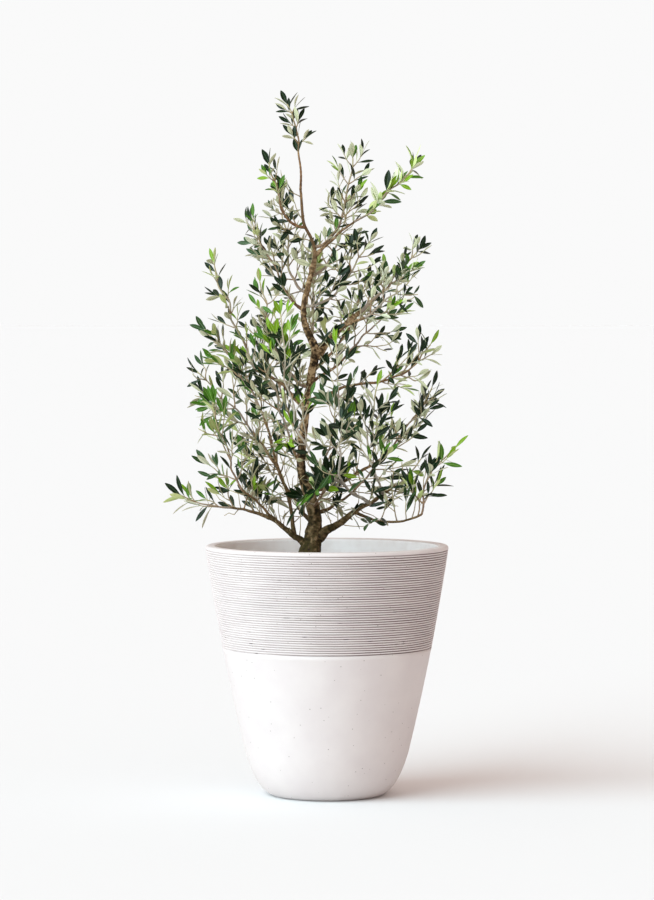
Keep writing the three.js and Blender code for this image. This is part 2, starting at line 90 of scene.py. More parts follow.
# The same line with its points at even distances.
def evenly(line, count):
    run = runOf(line)
    at = np.linspace(0, run[-1], count)
    return np.stack([np.interp(at, run, line[:, axis]) for axis in range(3)], axis=1)


# A line through knees: between two of them it is a cubic, whose slope at a knee is half the way from the
# knee before it to the knee after it.
def smoothLine(knees, count):
    knees = np.vstack([2 * knees[0] - knees[1], knees, 2 * knees[-1] - knees[-2]])
    t = np.linspace(0, 1, 24, endpoint=False)[:, None]
    parts = []
    for a, b, c, d in zip(knees, knees[1:], knees[2:], knees[3:]):
        parts.append(b + t * (c - a) / 2 + t ** 2 * (a - 2.5 * b + 2 * c - d / 2)
                     + t ** 3 * (1.5 * (b - c) + (d - a) / 2))
    return evenly(np.vstack(parts + [knees[-2:-1]]), count)


# A quadratic curve at shares t of its way: it leaves its start towards a knee and ends at its tip.
def curveAt(t, start, knee, tip):
    return (1 - t) ** 2 * start + 2 * t * (1 - t) * knee + t ** 2 * tip


# The same curve as a line in space.
def bentLine(start, knee, tip, count):
    return evenly(curveAt(np.linspace(0, 1, 33)[:, None], start, knee, tip), count)


# A line of even steps made crooked: noise along its length moves it sideways, and fades out at its root,
# and at its tip too unless that is free.
def crooked(line, amount, spacing, seed, freeTip=False):
    run = runOf(line)
    spots = run[:, None] * np.array([1, 0, 0])
    drift = np.stack([noiseAt(spots, spacing, 2, seed + axis) for axis in range(3)], axis=1)
    held = run if freeTip else np.minimum(run, run[-1] - run)
    return line + drift * amount * np.minimum(held / spacing, 1)[:, None]


# The place on a line of even steps at a share of its length, and the way the line runs there.
def placeOn(line, share):
    step = share * (len(line) - 1)
    low = min(int(step), len(line) - 2)
    way = line[low + 1] - line[low]
    return line[low] + way * (step - low), unit(way)


# Angles at even steps round a circle.
def roundAngles(count):
    return np.arange(count) * 2 * np.pi / count


# Places on a circle of radius one.
def onCircle(angle):
    return np.stack([np.cos(angle), np.sin(angle)], axis=-1)


# Faces of rings that follow each other: quads between them, and triangles that close them with a point
# before the first ring and one after the last.
def ringFaces(rings, sides):
    ring, side = np.meshgrid(np.arange(rings - 1), np.arange(sides), indexing="ij")
    here = ring * sides + side
    beside = ring * sides + (side + 1) % sides
    quads = np.stack([here, beside, beside + sides, here + sides], axis=-1).reshape(-1, 4)
    side = np.arange(sides)
    after = (side + 1) % sides
    last = (rings - 1) * sides
    pole = np.full(sides, rings * sides)
    first = np.stack([pole, after, side], axis=-1)
    return [quads, np.vstack([first, np.stack([last + side, last + after, pole + 1], axis=-1)])]


# Repeats faces for each of several equal meshes that follow each other.
def repeated(faces, count, step):
    return (faces[None] + np.arange(count)[:, None, None] * step).reshape(-1, faces.shape[1])


# Tubes along lines with as many stations each: a ring round every station, square to the line there, and
# a point at each end. Radii are one a station or one a point of the ring.
def sweep(lines, radii, sides):
    ways = unit(np.gradient(lines, axis=1))
    run = unit(lines[:, -1:] - lines[:, :1])
    aid = np.where(np.abs(run[..., 2:]) < 0.9, up, np.array([1.0, 0.0, 0.0]))
    start = unit(np.cross(run, aid))
    side = unit(start - ways * (start * ways).sum(axis=-1, keepdims=True))
    other = np.cross(ways, side)
    angle = roundAngles(sides)
    out = side[:, :, None] * np.cos(angle)[:, None] + other[:, :, None] * np.sin(angle)[:, None]
    radii = radii if radii.ndim == 3 else radii[:, :, None]
    rings = lines[:, :, None] + out * radii[..., None]
    count, stations = lines.shape[:2]
    points = np.concatenate([rings.reshape(count, -1, 3), lines[:, :1], lines[:, -1:]], axis=1)
    faces = [repeated(part, count, stations * sides + 2) for part in ringFaces(stations, sides)]
    return points.reshape(-1, 3), faces


# Joins meshes given as (points, faces) into one.
def joined(meshes):
    faces = []
    first = 0
    for points, parts in meshes:
        faces += [part + first for part in parts]
        first += len(points)
    return np.vstack([points for points, _ in meshes]), faces


# Random turns round a circle.
def anyTurn(rng, count=None):
    return rng.random(count) * 2 * np.pi


# A random value that strays from zero over a width in all.
def strayed(rng, width):
    return (rng.random() - 0.5) * width


# Puts a mesh, a light or a camera in the scene as an object.
def shown(name, data):
    thing = bpy.data.objects.new(name, data)
    bpy.context.scene.collection.objects.link(thing)
    return thing


# A piece of the model: it rides on the part's one body and may stand for CAD nodes; slotName is not used.
# Kinds give each face its material, values are numbers that the materials read, and an
# edge between two sharp points isn't shaded over.
def makePiece(name, points, faces, materials, slotName, nodes=(), kinds=None, values=None, sharp=None):
    corners = np.concatenate([part.ravel() for part in faces])
    sizes = np.concatenate([np.full(len(part), part.shape[1]) for part in faces])
    mesh = bpy.data.meshes.new(name)
    mesh.vertices.add(len(points))
    mesh.vertices.foreach_set("co", points.astype(np.float32).ravel())
    mesh.loops.add(len(corners))
    mesh.loops.foreach_set("vertex_index", corners.astype(np.int32))
    mesh.polygons.add(len(sizes))
    mesh.polygons.foreach_set("loop_start", (np.cumsum(sizes) - sizes).astype(np.int32))
    mesh.polygons.foreach_set("use_smooth", np.ones(len(sizes), bool))
    for material in materials:
        mesh.materials.append(material)
    if kinds is not None:
        mesh.polygons.foreach_set("material_index", kinds.astype(np.int32))
    mesh.update(calc_edges=True)
    for key, numbers in (values or {}).items():
        attribute = mesh.attributes.new(key, "FLOAT", "POINT")
        attribute.data.foreach_set("value", numbers.astype(np.float32))
    if sharp is not None:
        ends = np.empty(len(mesh.edges) * 2, np.int32)
        mesh.edges.foreach_get("vertices", ends)
        crease = mesh.attributes.new("sharp_edge", "BOOLEAN", "EDGE")
        crease.data.foreach_set("value", sharp[ends.reshape(-1, 2)].all(axis=1))
    piece = shown(name, mesh)
    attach(piece, "root")
    if nodes:
        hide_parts(*nodes)
    print(name, "has", int((sizes - 2).sum()), "triangles")


# Helpers for materials

# An sRGB hex colour turned linear, opaque.
def linearColour(code):
    parts = [int(code[i:i + 2], 16) / 255 for i in (1, 3, 5)]
    return tuple(p / 12.92 if p <= 0.04045 else ((p + 0.055) / 1.055) ** 2.4 for p in parts) + (1.0,)


# Gives a node its settings: values of its sockets by name or number, outputs of other nodes that are linked
# into them, stops of its ramp, or its own properties.
def setNode(tree, node, settings):
    for key, value in settings.items():
        if isinstance(value, bpy.types.NodeSocket):
            tree.links.new(value, node.inputs[key])
        elif key == "stops":
            ramp = node.color_ramp
            while len(ramp.elements) < len(value):
                ramp.elements.new(0.5)
            for element, (place, colour) in zip(ramp.elements, value):
                element.position = place
                element.color = linearColour(colour)
        elif isinstance(key, int) or key in node.inputs:
            node.inputs[key].default_value = value
        else:
            setattr(node, key, value)


# Adds a node with its settings.
def addNode(tree, kind, settings):
    node = tree.nodes.new("ShaderNode" + kind)
    setNode(tree, node, settings)
    return node


# A material with the settings of its shader.
def newMaterial(name, settings):
    material = bpy.data.materials.new(name)
    material.use_nodes = True
    shader = material.node_tree.nodes["Principled BSDF"]
    setNode(material.node_tree, shader, settings)
    return material, material.node_tree, shader


# How often a pattern repeats in a metre when its features are so many millimetres large.
def perSize(size):
    return 1 / (size * mm)


# Places on the object, which its patterns keep to.
def objectPlace(tree):
    return addNode(tree, "TexCoord", {}).outputs["Object"]


# A number that each point of the mesh has.
def pointValue(tree, key):
    return addNode(tree, "Attribute", {"attribute_name": key}).outputs["Fac"]


# Noise with features so many millimetres large.
def noiseOver(tree, place, size, detail, roughness=0.5):
    settings = {"Vector": place, "Scale": perSize(size), "Detail": detail, "Roughness": roughness}
    return addNode(tree, "TexNoise", settings).outputs["Fac"]


# The colour between stops at a value.
def rampOver(tree, value, *stops):
    return addNode(tree, "ValToRGB", {"stops": stops, "Fac": value}).outputs["Color"]


# A value's range from low to high turned into another one, and kept inside it.
def rangeOf(tree, value, low, high, first=0, last=1):
    settings = {"Value": value, "From Min": low, "From Max": high, "To Min": first, "To Max": last}
    return addNode(tree, "MapRange", settings).outputs["Result"]


# A colour laid over another one by a share.
def tinted(tree, under, share, code):
    return addNode(tree, "Mix", {"data_type": "RGBA", 0: share, 6: under, 7: linearColour(code)}).outputs[2]


# Arithmetic on values.
def mathOf(tree, operation, *values):
    return addNode(tree, "Math", {"operation": operation, **dict(enumerate(values))}).outputs["Value"]


# Fine grain that only the light shows: noise as height, which goes up to so many millimetres.
def grainOver(tree, place, size, detail, strength, height):
    noise = noiseOver(tree, place, size, detail)
    settings = {"Height": noise, "Strength": strength, "Distance": height * mm}
    return addNode(tree, "Bump", settings).outputs["Normal"]


# A material whose colour runs through stops by noise, with a grain where one is given.
def mottled(name, roughness, size, detail, stops, grain=None):
    material, tree, shader = newMaterial(name, {"Roughness": roughness})
    place = objectPlace(tree)
    setNode(tree, shader, {"Base Color": rampOver(tree, noiseOver(tree, place, size, detail), *stops)})
    if grain:
        setNode(tree, shader, {"Normal": grainOver(tree, place, *grain)})
    return material


# The planter

planterLook = {
    "rounds": 216,
    "rows": {"foot": 22, "side": 24, "lip": 6, "innerWall": 12},
    "footRadius": 81 * mm,
    "footRing": (5 * mm, 1.8 * mm),  # how far in it stands from the foot's edge, and its height
    "footCorner": (102 * mm, 9 * mm),
    "bellyHeight": 62 * mm,
    "bellyRadius": 117 * mm,
    "sideBulge": 3.4 * mm,
    "wallThickness": 15.7 * mm,
    "floorThickness": 22 * mm,
    "innerFloor": (72 * mm, 88 * mm, 38 * mm),  # its radius, and the corner's radius and height
    "innerHeights": (300 * mm, 191 * mm, 70 * mm),  # rows of the inner wall are even down to the first
    "lipRounding": 4 * mm,
    "bandFoot": 212 * mm,  # the combed band runs from here to just under the lip
    "grooves": 43,
    "grooveDepth": 1.5 * mm,
    "grooveAcross": (0.04, 0.16, 0.3, 0.44, 0.56, 0.8),  # of a groove and its crest, and how deep each is
    "grooveDips": (0, 0.75, 1, 0.75, 0, -0.12),
    "grooveShift": 0.37,  # how far apart the grooves' noise is
    "wear": 0.36, "waviness": 0.28 * mm, "wearSize": 60 * mm,
    "chips": (0.86, 0.2, 5), "chipSize": 6 * mm, "chipDepth": 0.8,  # least noise, less at the foot, steepness
    "unevenness": ((0.3 * mm, 70 * mm), (0.12 * mm, 14 * mm)),  # amounts and sizes
    "evenFoot": 3 * mm,
    "proudEdge": 0.5 * mm,  # of the smooth wall under the band
    "paintedGrooveShade": (0.72, 0.62),  # painted shade in the grooves at the front, and how much more of it on the right, the side away from the key light
    "paintedLightFrom": 3,  # rows over the lip, from which the inside wall is painted paler
}


# Turns a profile about Z. The profile runs up the outside from the middle of the underside, over the lip
# and down the inside: the foot is a quadratic curve, the side a straight taper with a parabola's swell,
# and each groove of the band a round dip of about 1 - x^2 beside a crest that stands up a little. The
# grooves' depth, height and chips change round the band by noise.
def makePlanter():
    look = planterLook
    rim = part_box("planter")[1]
    foot, belly, bellyHeight = look["footRadius"], look["bellyRadius"], look["bellyHeight"]
    bandFoot, rounding, wall, floor = (
        look[key] for key in ("bandFoot", "lipRounding", "wallThickness", "floorThickness"))

    def sideRadius(height):
        share = (height - bellyHeight) / (rim.z - bellyHeight)
        return belly + (rim.x - belly) * share + look["sideBulge"] * 4 * share * (1 - share)

    t = np.linspace(0, 1, look["rows"]["foot"])
    cornerRadius, cornerHeight = look["footCorner"]
    ringInset, ringHeight = look["footRing"]
    footRadii = curveAt(t, foot, cornerRadius, belly)
    footHeights = curveAt(t, ringHeight, cornerHeight + ringHeight, bellyHeight)
    sideHeights = np.linspace(bellyHeight, bandFoot, look["rows"]["side"])[1:]
    lipFoot = rim.z - rounding
    groove = np.arange(look["grooves"])[:, None]
    pitch = (lipFoot - bandFoot) / look["grooves"]
    bandHeights = (bandFoot + pitch * (groove + look["grooveAcross"])).ravel()
    bandDips = np.tile(look["grooveDips"], look["grooves"])[:, None]
    quarter = np.linspace(0, np.pi / 2, look["rows"]["lip"])
    edge = sideRadius(lipFoot)
    lipRadii = [edge - rounding * (1 - np.cos(quarter)), edge - wall + rounding * (1 - np.sin(quarter))]
    lipHeights = [lipFoot + rounding * np.sin(quarter), lipFoot + rounding * np.cos(quarter)]
    floorRadius, turnRadius, turnHeight = look["innerFloor"]
    evenTo, *others = look["innerHeights"]
    wallHeights = np.append(np.linspace(lipFoot, evenTo, look["rows"]["innerWall"])[1:], others)
    radii = np.concatenate([
        [foot / 2, foot - ringInset, foot - ringInset], footRadii, sideRadius(sideHeights),
        sideRadius(bandHeights), *lipRadii, sideRadius(wallHeights) - wall,
        [turnRadius, floorRadius, floorRadius / 2],
    ])
    heights = np.concatenate([
        [0, 0, ringHeight], footHeights, sideHeights, bandHeights, *lipHeights, wallHeights,
        [turnHeight, floor, floor],
    ])[:, None]
    bandStart = 3 + len(footHeights) + len(sideHeights)
    bandEnd = bandStart + len(bandHeights)
    band = slice(bandStart, bandEnd)
    circle = onCircle(roundAngles(look["rounds"]))
    shape = (len(radii), len(circle))

    # wear of each groove: long soft changes along it, and short chips
    onBand = (len(bandHeights), len(circle))
    lane = np.repeat(groove * look["grooveShift"], len(look["grooveAcross"]))[:, None]
    course = np.dstack([np.broadcast_to(circle * rim.x, onBand + (2,)), np.broadcast_to(lane, onBand)])
    wear = 1 + look["wear"] * noiseAt(course, look["wearSize"], 2, seed=3)
    lower = 1 - (bandHeights[:, None] - bandFoot) / (lipFoot - bandFoot)
    least, lessAtFoot, steepness = look["chips"]
    chips = noiseAt(course, look["chipSize"], 1, seed=5) - least + lessAtFoot * lower
    chip = np.zeros(shape)
    chip[band] = np.clip(chips * steepness, 0, 1) * (bandDips > 0.5)
    dip = np.zeros(shape)
    dip[band] = bandDips * (wear + look["chipDepth"] * chip[band])

    skin = np.dstack([radii[:, None, None] * circle, np.broadcast_to(heights, shape)])
    swell = sum(amount * noiseAt(skin, size, 2, 7 + n) for n, (amount, size) in enumerate(look["unevenness"]))
    row = np.arange(len(radii))[:, None]
    swell *= (heights > look["evenFoot"]) & (row < bandEnd + len(quarter))
    swell[bandStart - 1] += look["proudEdge"]
    reach = radii[:, None] + swell - look["grooveDepth"] * dip
    lift = np.zeros(shape)
    lift[band] = look["waviness"] * noiseAt(course, look["wearSize"], 2, seed=9)
    rows = np.dstack([reach[..., None] * circle, heights + lift])
    points = np.vstack([rows.reshape(-1, 3), [[0, 0, 0], [0, 0, floor]]])
    # painted shade for the grooves: a share that grows towards the right, the side away from the key light,
    # times each groove's depth
    settled = np.clip(look["paintedGrooveShade"][0] + look["paintedGrooveShade"][1] * circle[:, 0], 0, 1)
    # painted light: from these rows the inside wall gets a paler material that stands in for the key light
    # falling inside
    inside = row[:-1] >= bandEnd + len(quarter) + look["paintedLightFrom"]
    kinds = np.append(np.repeat(inside, len(circle)), np.repeat([False, True], len(circle)))
    depth = np.append(np.clip(dip, 0, 2) * settled, [0, 0])
    makePiece("planter_combed", points, ringFaces(*shape), [fibreClay(), paintedLightInsideWall()], "cast_fibre_clay",
              ["planter"], kinds, {"groove_depth": depth, "groove_chip": np.append(chip, [0, 0])})


# Fibre clay, cast and then combed while soft: an off-white, matt, faintly mottled skin with fine sand in
# it and a few small pits, and painted shade in the grooves that is heavier on the right, away from the key
# light.
def fibreClay():
    material, tree, shader = newMaterial("fibre_clay_cast_and_combed", {"Roughness": 0.62, "IOR": 1.5})
    place = objectPlace(tree)
    skin = rampOver(tree, noiseOver(tree, place, 45, 4), (0.3, "#CEC4C2"), (0.7, "#D4CBC8"))
    pits = addNode(tree, "TexVoronoi", {"Vector": place, "Scale": perSize(11)}).outputs["Distance"]
    spotted = tinted(tree, skin, rangeOf(tree, pits, 0.045, 0.085, 1, 0), "#8C8078")
    # painted shade: the grooves darkened, more on the right side away from the key light
    paintedGrooveShade = rangeOf(tree, pointValue(tree, "groove_depth"), 0.05, 1, 0, 0.95)
    paintedGrooves = tinted(tree, spotted, paintedGrooveShade, "#624341")
    chipped = tinted(tree, paintedGrooves, pointValue(tree, "groove_chip"), "#5E5350")
    setNode(tree, shader, {"Base Color": chipped, "Normal": grainOver(tree, place, 1.4, 3, 0.35, 0.3)})
    return material


# Inside wall: the clay painted paler and nearly white, as painted light for the key light that falls inside;
# matt, with a faint mottle.
def paintedLightInsideWall():
    return mottled("inside_wall_painted_light", 0.8, 22, 5, [(0.35, "#F3EDEC"), (0.6, "#FCF8F8")])


makePlanter()


# The potting mix

soilLook = {
    "rings": 64, "rounds": 168,
    "innerRing": 0.02,  # of the radius
    "edgeGap": 0.2 * mm,
    "settled": 3 * mm,  # how far the mix has sunk
    "lump": 2.2 * mm,
    "lumpSizes": ((1, 30 * mm), (0.8, 9 * mm), (0.5, 3.5 * mm)),  # how strong the noise of each size is
    "mound": (4 * mm, 45 * mm),  # its height and reach
    "trunkFoot": (-31 * mm, 0),
    "plug": (30 * mm, 0.96),  # how far down the piece is closed, and its width there
    "trunkRoom": 24 * mm, "wallRoom": 7 * mm,  # without chips
    "jitter": 0.22, "tilt": 0.25, "sizes": (0.55, 1.3), "lift": 0.3 * mm,
    "scattered": {  # how many, their size in mm, and their seed
        "bark_chips": (620, (7, 4.2, 1.7), 41),
        "pumice_grains": (170, (2.6, 2.3, 2), 42),
    },
}


# How far places are from the trunk's foot.
def fromTrunk(flat):
    return np.linalg.norm(flat - np.array(soilLook["trunkFoot"]), axis=-1)


# Height of the potting mix over a place: noise of three sizes, and a mound of exp(-x^2) round the trunk.
def soilHeight(flat, top):
    look = soilLook
    place = np.concatenate([flat, np.zeros(flat.shape[:-1] + (1,))], axis=-1)
    lumps = sum(share * noiseAt(place, size, 1, 21 + n) for n, (share, size) in enumerate(look["lumpSizes"]))
    mound, reach = look["mound"]
    return top - look["settled"] + look["lump"] * lumps + mound * np.exp(-(fromTrunk(flat) / reach) ** 2)


# A disc of rings at the mix's height, closed below by a flat plug.
def makeSoil():
    look = soilLook
    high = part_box("potting_mix")[1]
    radius = high.x - look["edgeGap"]
    share = np.linspace(look["innerRing"], 1, look["rings"])
    flat = radius * share[:, None, None] * onCircle(roundAngles(look["rounds"]))
    surface = np.dstack([flat, soilHeight(flat, high.z)])
    depth, width = look["plug"]
    plug = surface[-1] * [width, width, 0] + up * (high.z - depth)
    rows = np.vstack([plug[None], surface[::-1]])
    middle = [[0, 0, high.z - depth], [0, 0, soilHeight(np.zeros((1, 2)), high.z)[0]]]
    points = np.vstack([rows.reshape(-1, 3), middle])
    faces = ringFaces(*rows.shape[:2])
    makePiece("potting_mix_bed", points, faces, [pottingMix()], "potting_mix", ["potting_mix"])
    scatterChips(radius - look["wallRoom"], high.z)


# Meshes turned in the plane of two axes, each by its own angle.
def turned(places, first, second, angle):
    cosine, sine = np.cos(angle)[:, None], np.sin(angle)[:, None]
    result = places.copy()
    result[..., first] = places[..., first] * cosine - places[..., second] * sine
    result[..., second] = places[..., first] * sine + places[..., second] * cosine
    return result


# Chips of bark and grains of pumice lying on the mix: flattened twenty-sided grains with jittered corners,
# each turned at random and pressed half in.
def scatterChips(radius, top):
    look = soilLook
    golden = (1 + 5 ** 0.5) / 2
    corners = unit(np.array([
        (-1, golden, 0), (1, golden, 0), (-1, -golden, 0), (1, -golden, 0), (0, -1, golden), (0, 1, golden),
        (0, -1, -golden), (0, 1, -golden), (golden, 0, -1), (golden, 0, 1), (-golden, 0, -1), (-golden, 0, 1),
    ]))
    sides = np.array([
        (0, 11, 5), (0, 5, 1), (0, 1, 7), (0, 7, 10), (0, 10, 11), (1, 5, 9), (5, 11, 4), (11, 10, 2),
        (10, 7, 6), (7, 1, 8), (3, 9, 4), (3, 4, 2), (3, 2, 6), (3, 6, 8), (3, 8, 9), (4, 9, 5),
        (2, 4, 11), (6, 2, 10), (8, 6, 7), (9, 8, 1),
    ])
    for (name, (count, size, seed)), material in zip(look["scattered"].items(), (chippedBark(), pumice())):
        rng = np.random.default_rng(seed)
        distance = radius * np.sqrt(rng.random(count))
        flat = distance[:, None] * onCircle(anyTurn(rng, count))
        flat = flat[fromTrunk(flat) > look["trunkRoom"]]
        count = len(flat)
        shape = corners[None] * (1 + look["jitter"] * rng.standard_normal((count, len(corners), 1)))
        shape = shape * np.array(size) * mm * rng.uniform(*look["sizes"], (count, 1, 1))
        turn = anyTurn(rng, count)
        tilt = rng.standard_normal(count) * look["tilt"]
        placed = turned(turned(shape, 0, 2, tilt), 0, 1, turn)
        placed[..., :2] += flat[:, None]
        placed[..., 2] += soilHeight(flat, top)[:, None] + look["lift"]
        faces = [repeated(sides, count, len(corners))]
        makePiece(name, placed.reshape(-1, 3), faces, [material], "potting_mix")


# Potting mix, peat and composted bark: dark brown, dull and crumbly, with paler fibres.
def pottingMix():
    stops = [(0.32, "#2A1F18"), (0.52, "#47362A"), (0.7, "#6B5442")]
    return mottled("potting_mix_crumbled", 0.95, 6, 6, stops, (1.8, 4, 0.8, 0.8))


# Pine bark, chipped and composted: red-brown to dark flakes with a fibrous grain.
def chippedBark():
    return mottled("pine_bark_chipped", 0.88, 9, 5, [(0.3, "#33231A"), (0.55, "#5E412E"), (0.75, "#8A6A4C")])


# Pumice, crushed and sieved: pale grey grains, matt and porous.
def pumice():
    return mottled("pumice_sieved", 0.9, 1.2, 3, [(0.35, "#A39B8E"), (0.65, "#D8D2C6")])


makeSoil()


# Limbs: the lines and thicknesses that the solids have, in millimetres

trunkShape = {
    "knees": [(-31, 0, 312), (-21, 2, 396), (-33, 5, 465), (-29.5, 0, 560), (-18.6, -5, 634), (-33, -2, 690),
              (-15.7, 5, 775), (-31, 3, 821), (-38, 0, 868)],
    "heights": (312, 328, 350, 380, 457, 580, 629, 683, 757, 785, 868),
    "thickness": (44, 35, 30, 21, 13.4, 10.4, 12.4, 8.6, 7.4, 4.8, 3.6),
}

# Where each bough leaves its parent (a height on the trunk, or a bough and a share of its length), the
# knee that it bends towards, its tip, and its thickness at the fork and at the tip.
boughShapes = {
    "low_left": (350, (-72, -8, 406), (-140, -20, 413), (11.5, 3.2)),
    "left_upright": (("low_left", 0.42), (-92, -30, 418), (-122, -46, 440), (4, 3)),
    "low_left_back": (386, (-46, 30, 412), (-62, 50, 444), (6, 3.4)),
    "front_left": (470, (-40, -36, 484), (-54, -58, 518), (5, 3)),
    "left_mid": (("low_left", 0.22), (-58, -10, 446), (-90, -28, 542), (6, 3.4)),
    "left_mid_low": (("left_mid", 0.45), (-74, 8, 478), (-108, 18, 520), (4, 3)),
    "left_upper": (552, (-65, 0, 600), (-104, 0, 608), (8, 4)),
    "left_mid_back": (505, (-46, 36, 530), (-60, 56, 558), (5, 3.2)),
    "low_right": (362, (20, -8, 398), (100, -15, 445), (15, 3.6)),
    "low_right_lower": (("low_right", 0.5), (90, -40, 374), (136, -50, 406), (4.4, 3)),
    "centre_front": (("low_right", 0.68), (5, -58, 452), (-24, -72, 494), (5, 3.4)),
    "centre_right_front": (("centre_front", 0.45), (16, -80, 460), (18, -92, 480), (4, 3)),
    "right_inner": (("low_right", 0.84), (76, -44, 444), (68, -58, 462), (4, 3)),
    "right_mid_low": (433, (44, 10, 450), (76, 16, 480), (7, 3.6)),
    "right_mid": (562, (26, -6, 590), (66, -10, 590), (6.4, 3.6)),
    "right_mid_up": (590, (10, 20, 606), (34, 28, 636), (4.6, 3.2)),
    "right_upper": (628, (15, 0, 668), (50, 0, 693), (14, 6)),
    "right_upper_front": (("right_upper", 0.55), (36, -26, 676), (56, -38, 684), (4.6, 3.2)),
    "right_upper_back": (606, (5, 40, 626), (20, 58, 650), (5, 3.2)),
    "upper_left": (694, (-52, -6, 708), (-62, -8, 726), (4.6, 3.2)),
    "upper_right": (770, (8, 0, 800), (41, 0, 821), (4.8, 3)),
    "low_back": (420, (-14, 46, 434), (-8, 68, 458), (5.6, 3.4)),
    "low_back_right": (402, (24, 40, 416), (42, 62, 436), (5.6, 3.4)),
}

barkLook = {
    "trunkSides": 72, "boughSides": 24,
    "trunkRings": (280, 284),  # over the mix, and with its sunk foot
    "step": 1.6 * mm,  # between a bough's rings
    "sunk": 6 * mm,  # the trunk's foot goes on this far into the mix
    "patterns": (  # ridges, lumps and scales: how dense the noise is round and along a limb, and its size
        ((1, 1, 0.2), 4.5 * mm), ((1, 1, 1), 13 * mm), ((0.7, 0.7, 1.3), 2.8 * mm)),
    "ridge": 0.13, "lump": 0.12,  # of the radius
    "scale": (0.6 * mm, 0.12),  # how far the small scales stand up, and at most, of the radius
    "reliefShade": (4, 0.35),  # how much the colour follows the relief and the scales: painted shade, darker in the furrows and lighter on ridges and scales
    "knotSpacing": (24 * mm, 46 * mm), "knotRise": 0.2,
    "knotLength": (0.5, 1.4 * mm),  # of the radius, and more
    "knotFade": (3.5 * mm, 0.25),  # knots stand up less on limbs thicker than this, but at least so much
    "knotSides": (0.55, 0.45),  # all round, and more on its own side
    "collar": 0.22, "collarLength": 8 * mm,
    "footLobes": ((0.1, 3, 1.1), (0.08, 5, 2.3)),  # height of the radius, how many, and their turn
    "footHeight": 20 * mm,
    "end": (3 * mm, 0.25),  # a bough's last stretch, and how thin it gets
    "taper": 1.6,  # a bough gets thin sooner the higher this is
    "crooked": (5 * mm, 30 * mm), "trunkCrooked": (5 * mm, 55 * mm),  # how far limbs stray, and how often
    "youth": (0.6, 1.15, 5 * mm),  # how pale the thinnest wood is, and how that ends at a radius
}


# The place on a rising line at a height.
def heightOn(line, height):
    return np.array([np.interp(height, line[:, 2], line[:, axis]) for axis in range(3)])


# The radius at a share of a limb's length.
def radiusAt(radii, share):
    return np.interp(share, np.linspace(0, 1, len(radii)), radii)


# Lines and radii of every limb, at even steps. A bough starts on its parent's middle line.
def makeLimbs():
    look = barkLook
    knees = np.array(trunkShape["knees"]) * mm
    overMix, inAll = look["trunkRings"]
    line = np.vstack([knees[:1] - up * look["sunk"], smoothLine(knees, overMix)])
    line = crooked(evenly(line, inAll), *look["trunkCrooked"], seed=60)
    heights, thickness = (np.array(trunkShape[key]) * mm for key in ("heights", "thickness"))
    found = {"trunk": {"line": line, "radii": np.interp(line[:, 2], heights, thickness) / 2}}
    for number, (name, (root, knee, tip, (forkThickness, tipThickness))) in enumerate(boughShapes.items()):
        if isinstance(root, tuple):
            parent = found[root[0]]
            start = placeOn(parent["line"], root[1])[0]
            parentRadius = radiusAt(parent["radii"], root[1])
        else:
            start = heightOn(line, root * mm)
            parentRadius = np.interp(root * mm, heights, thickness) / 2
        knee, tip = np.array(knee) * mm, np.array(tip) * mm
        length = np.linalg.norm(knee - start) + np.linalg.norm(tip - knee)
        path = bentLine(start, knee, tip, max(20, round(length / look["step"])))
        path = crooked(path, *look["crooked"], seed=70 + 5 * number)
        share = np.linspace(0, 1, len(path))
        radii = (tipThickness + (forkThickness - tipThickness) * (1 - share) ** look["taper"]) / 2 * mm
        found[name] = {"line": path, "radii": radii, "parentRadius": parentRadius}
    return found


limbs = makeLimbs()
greyShoots = ("centre_front", "centre_right_front", "right_inner")  # young wood with a pale grey skin


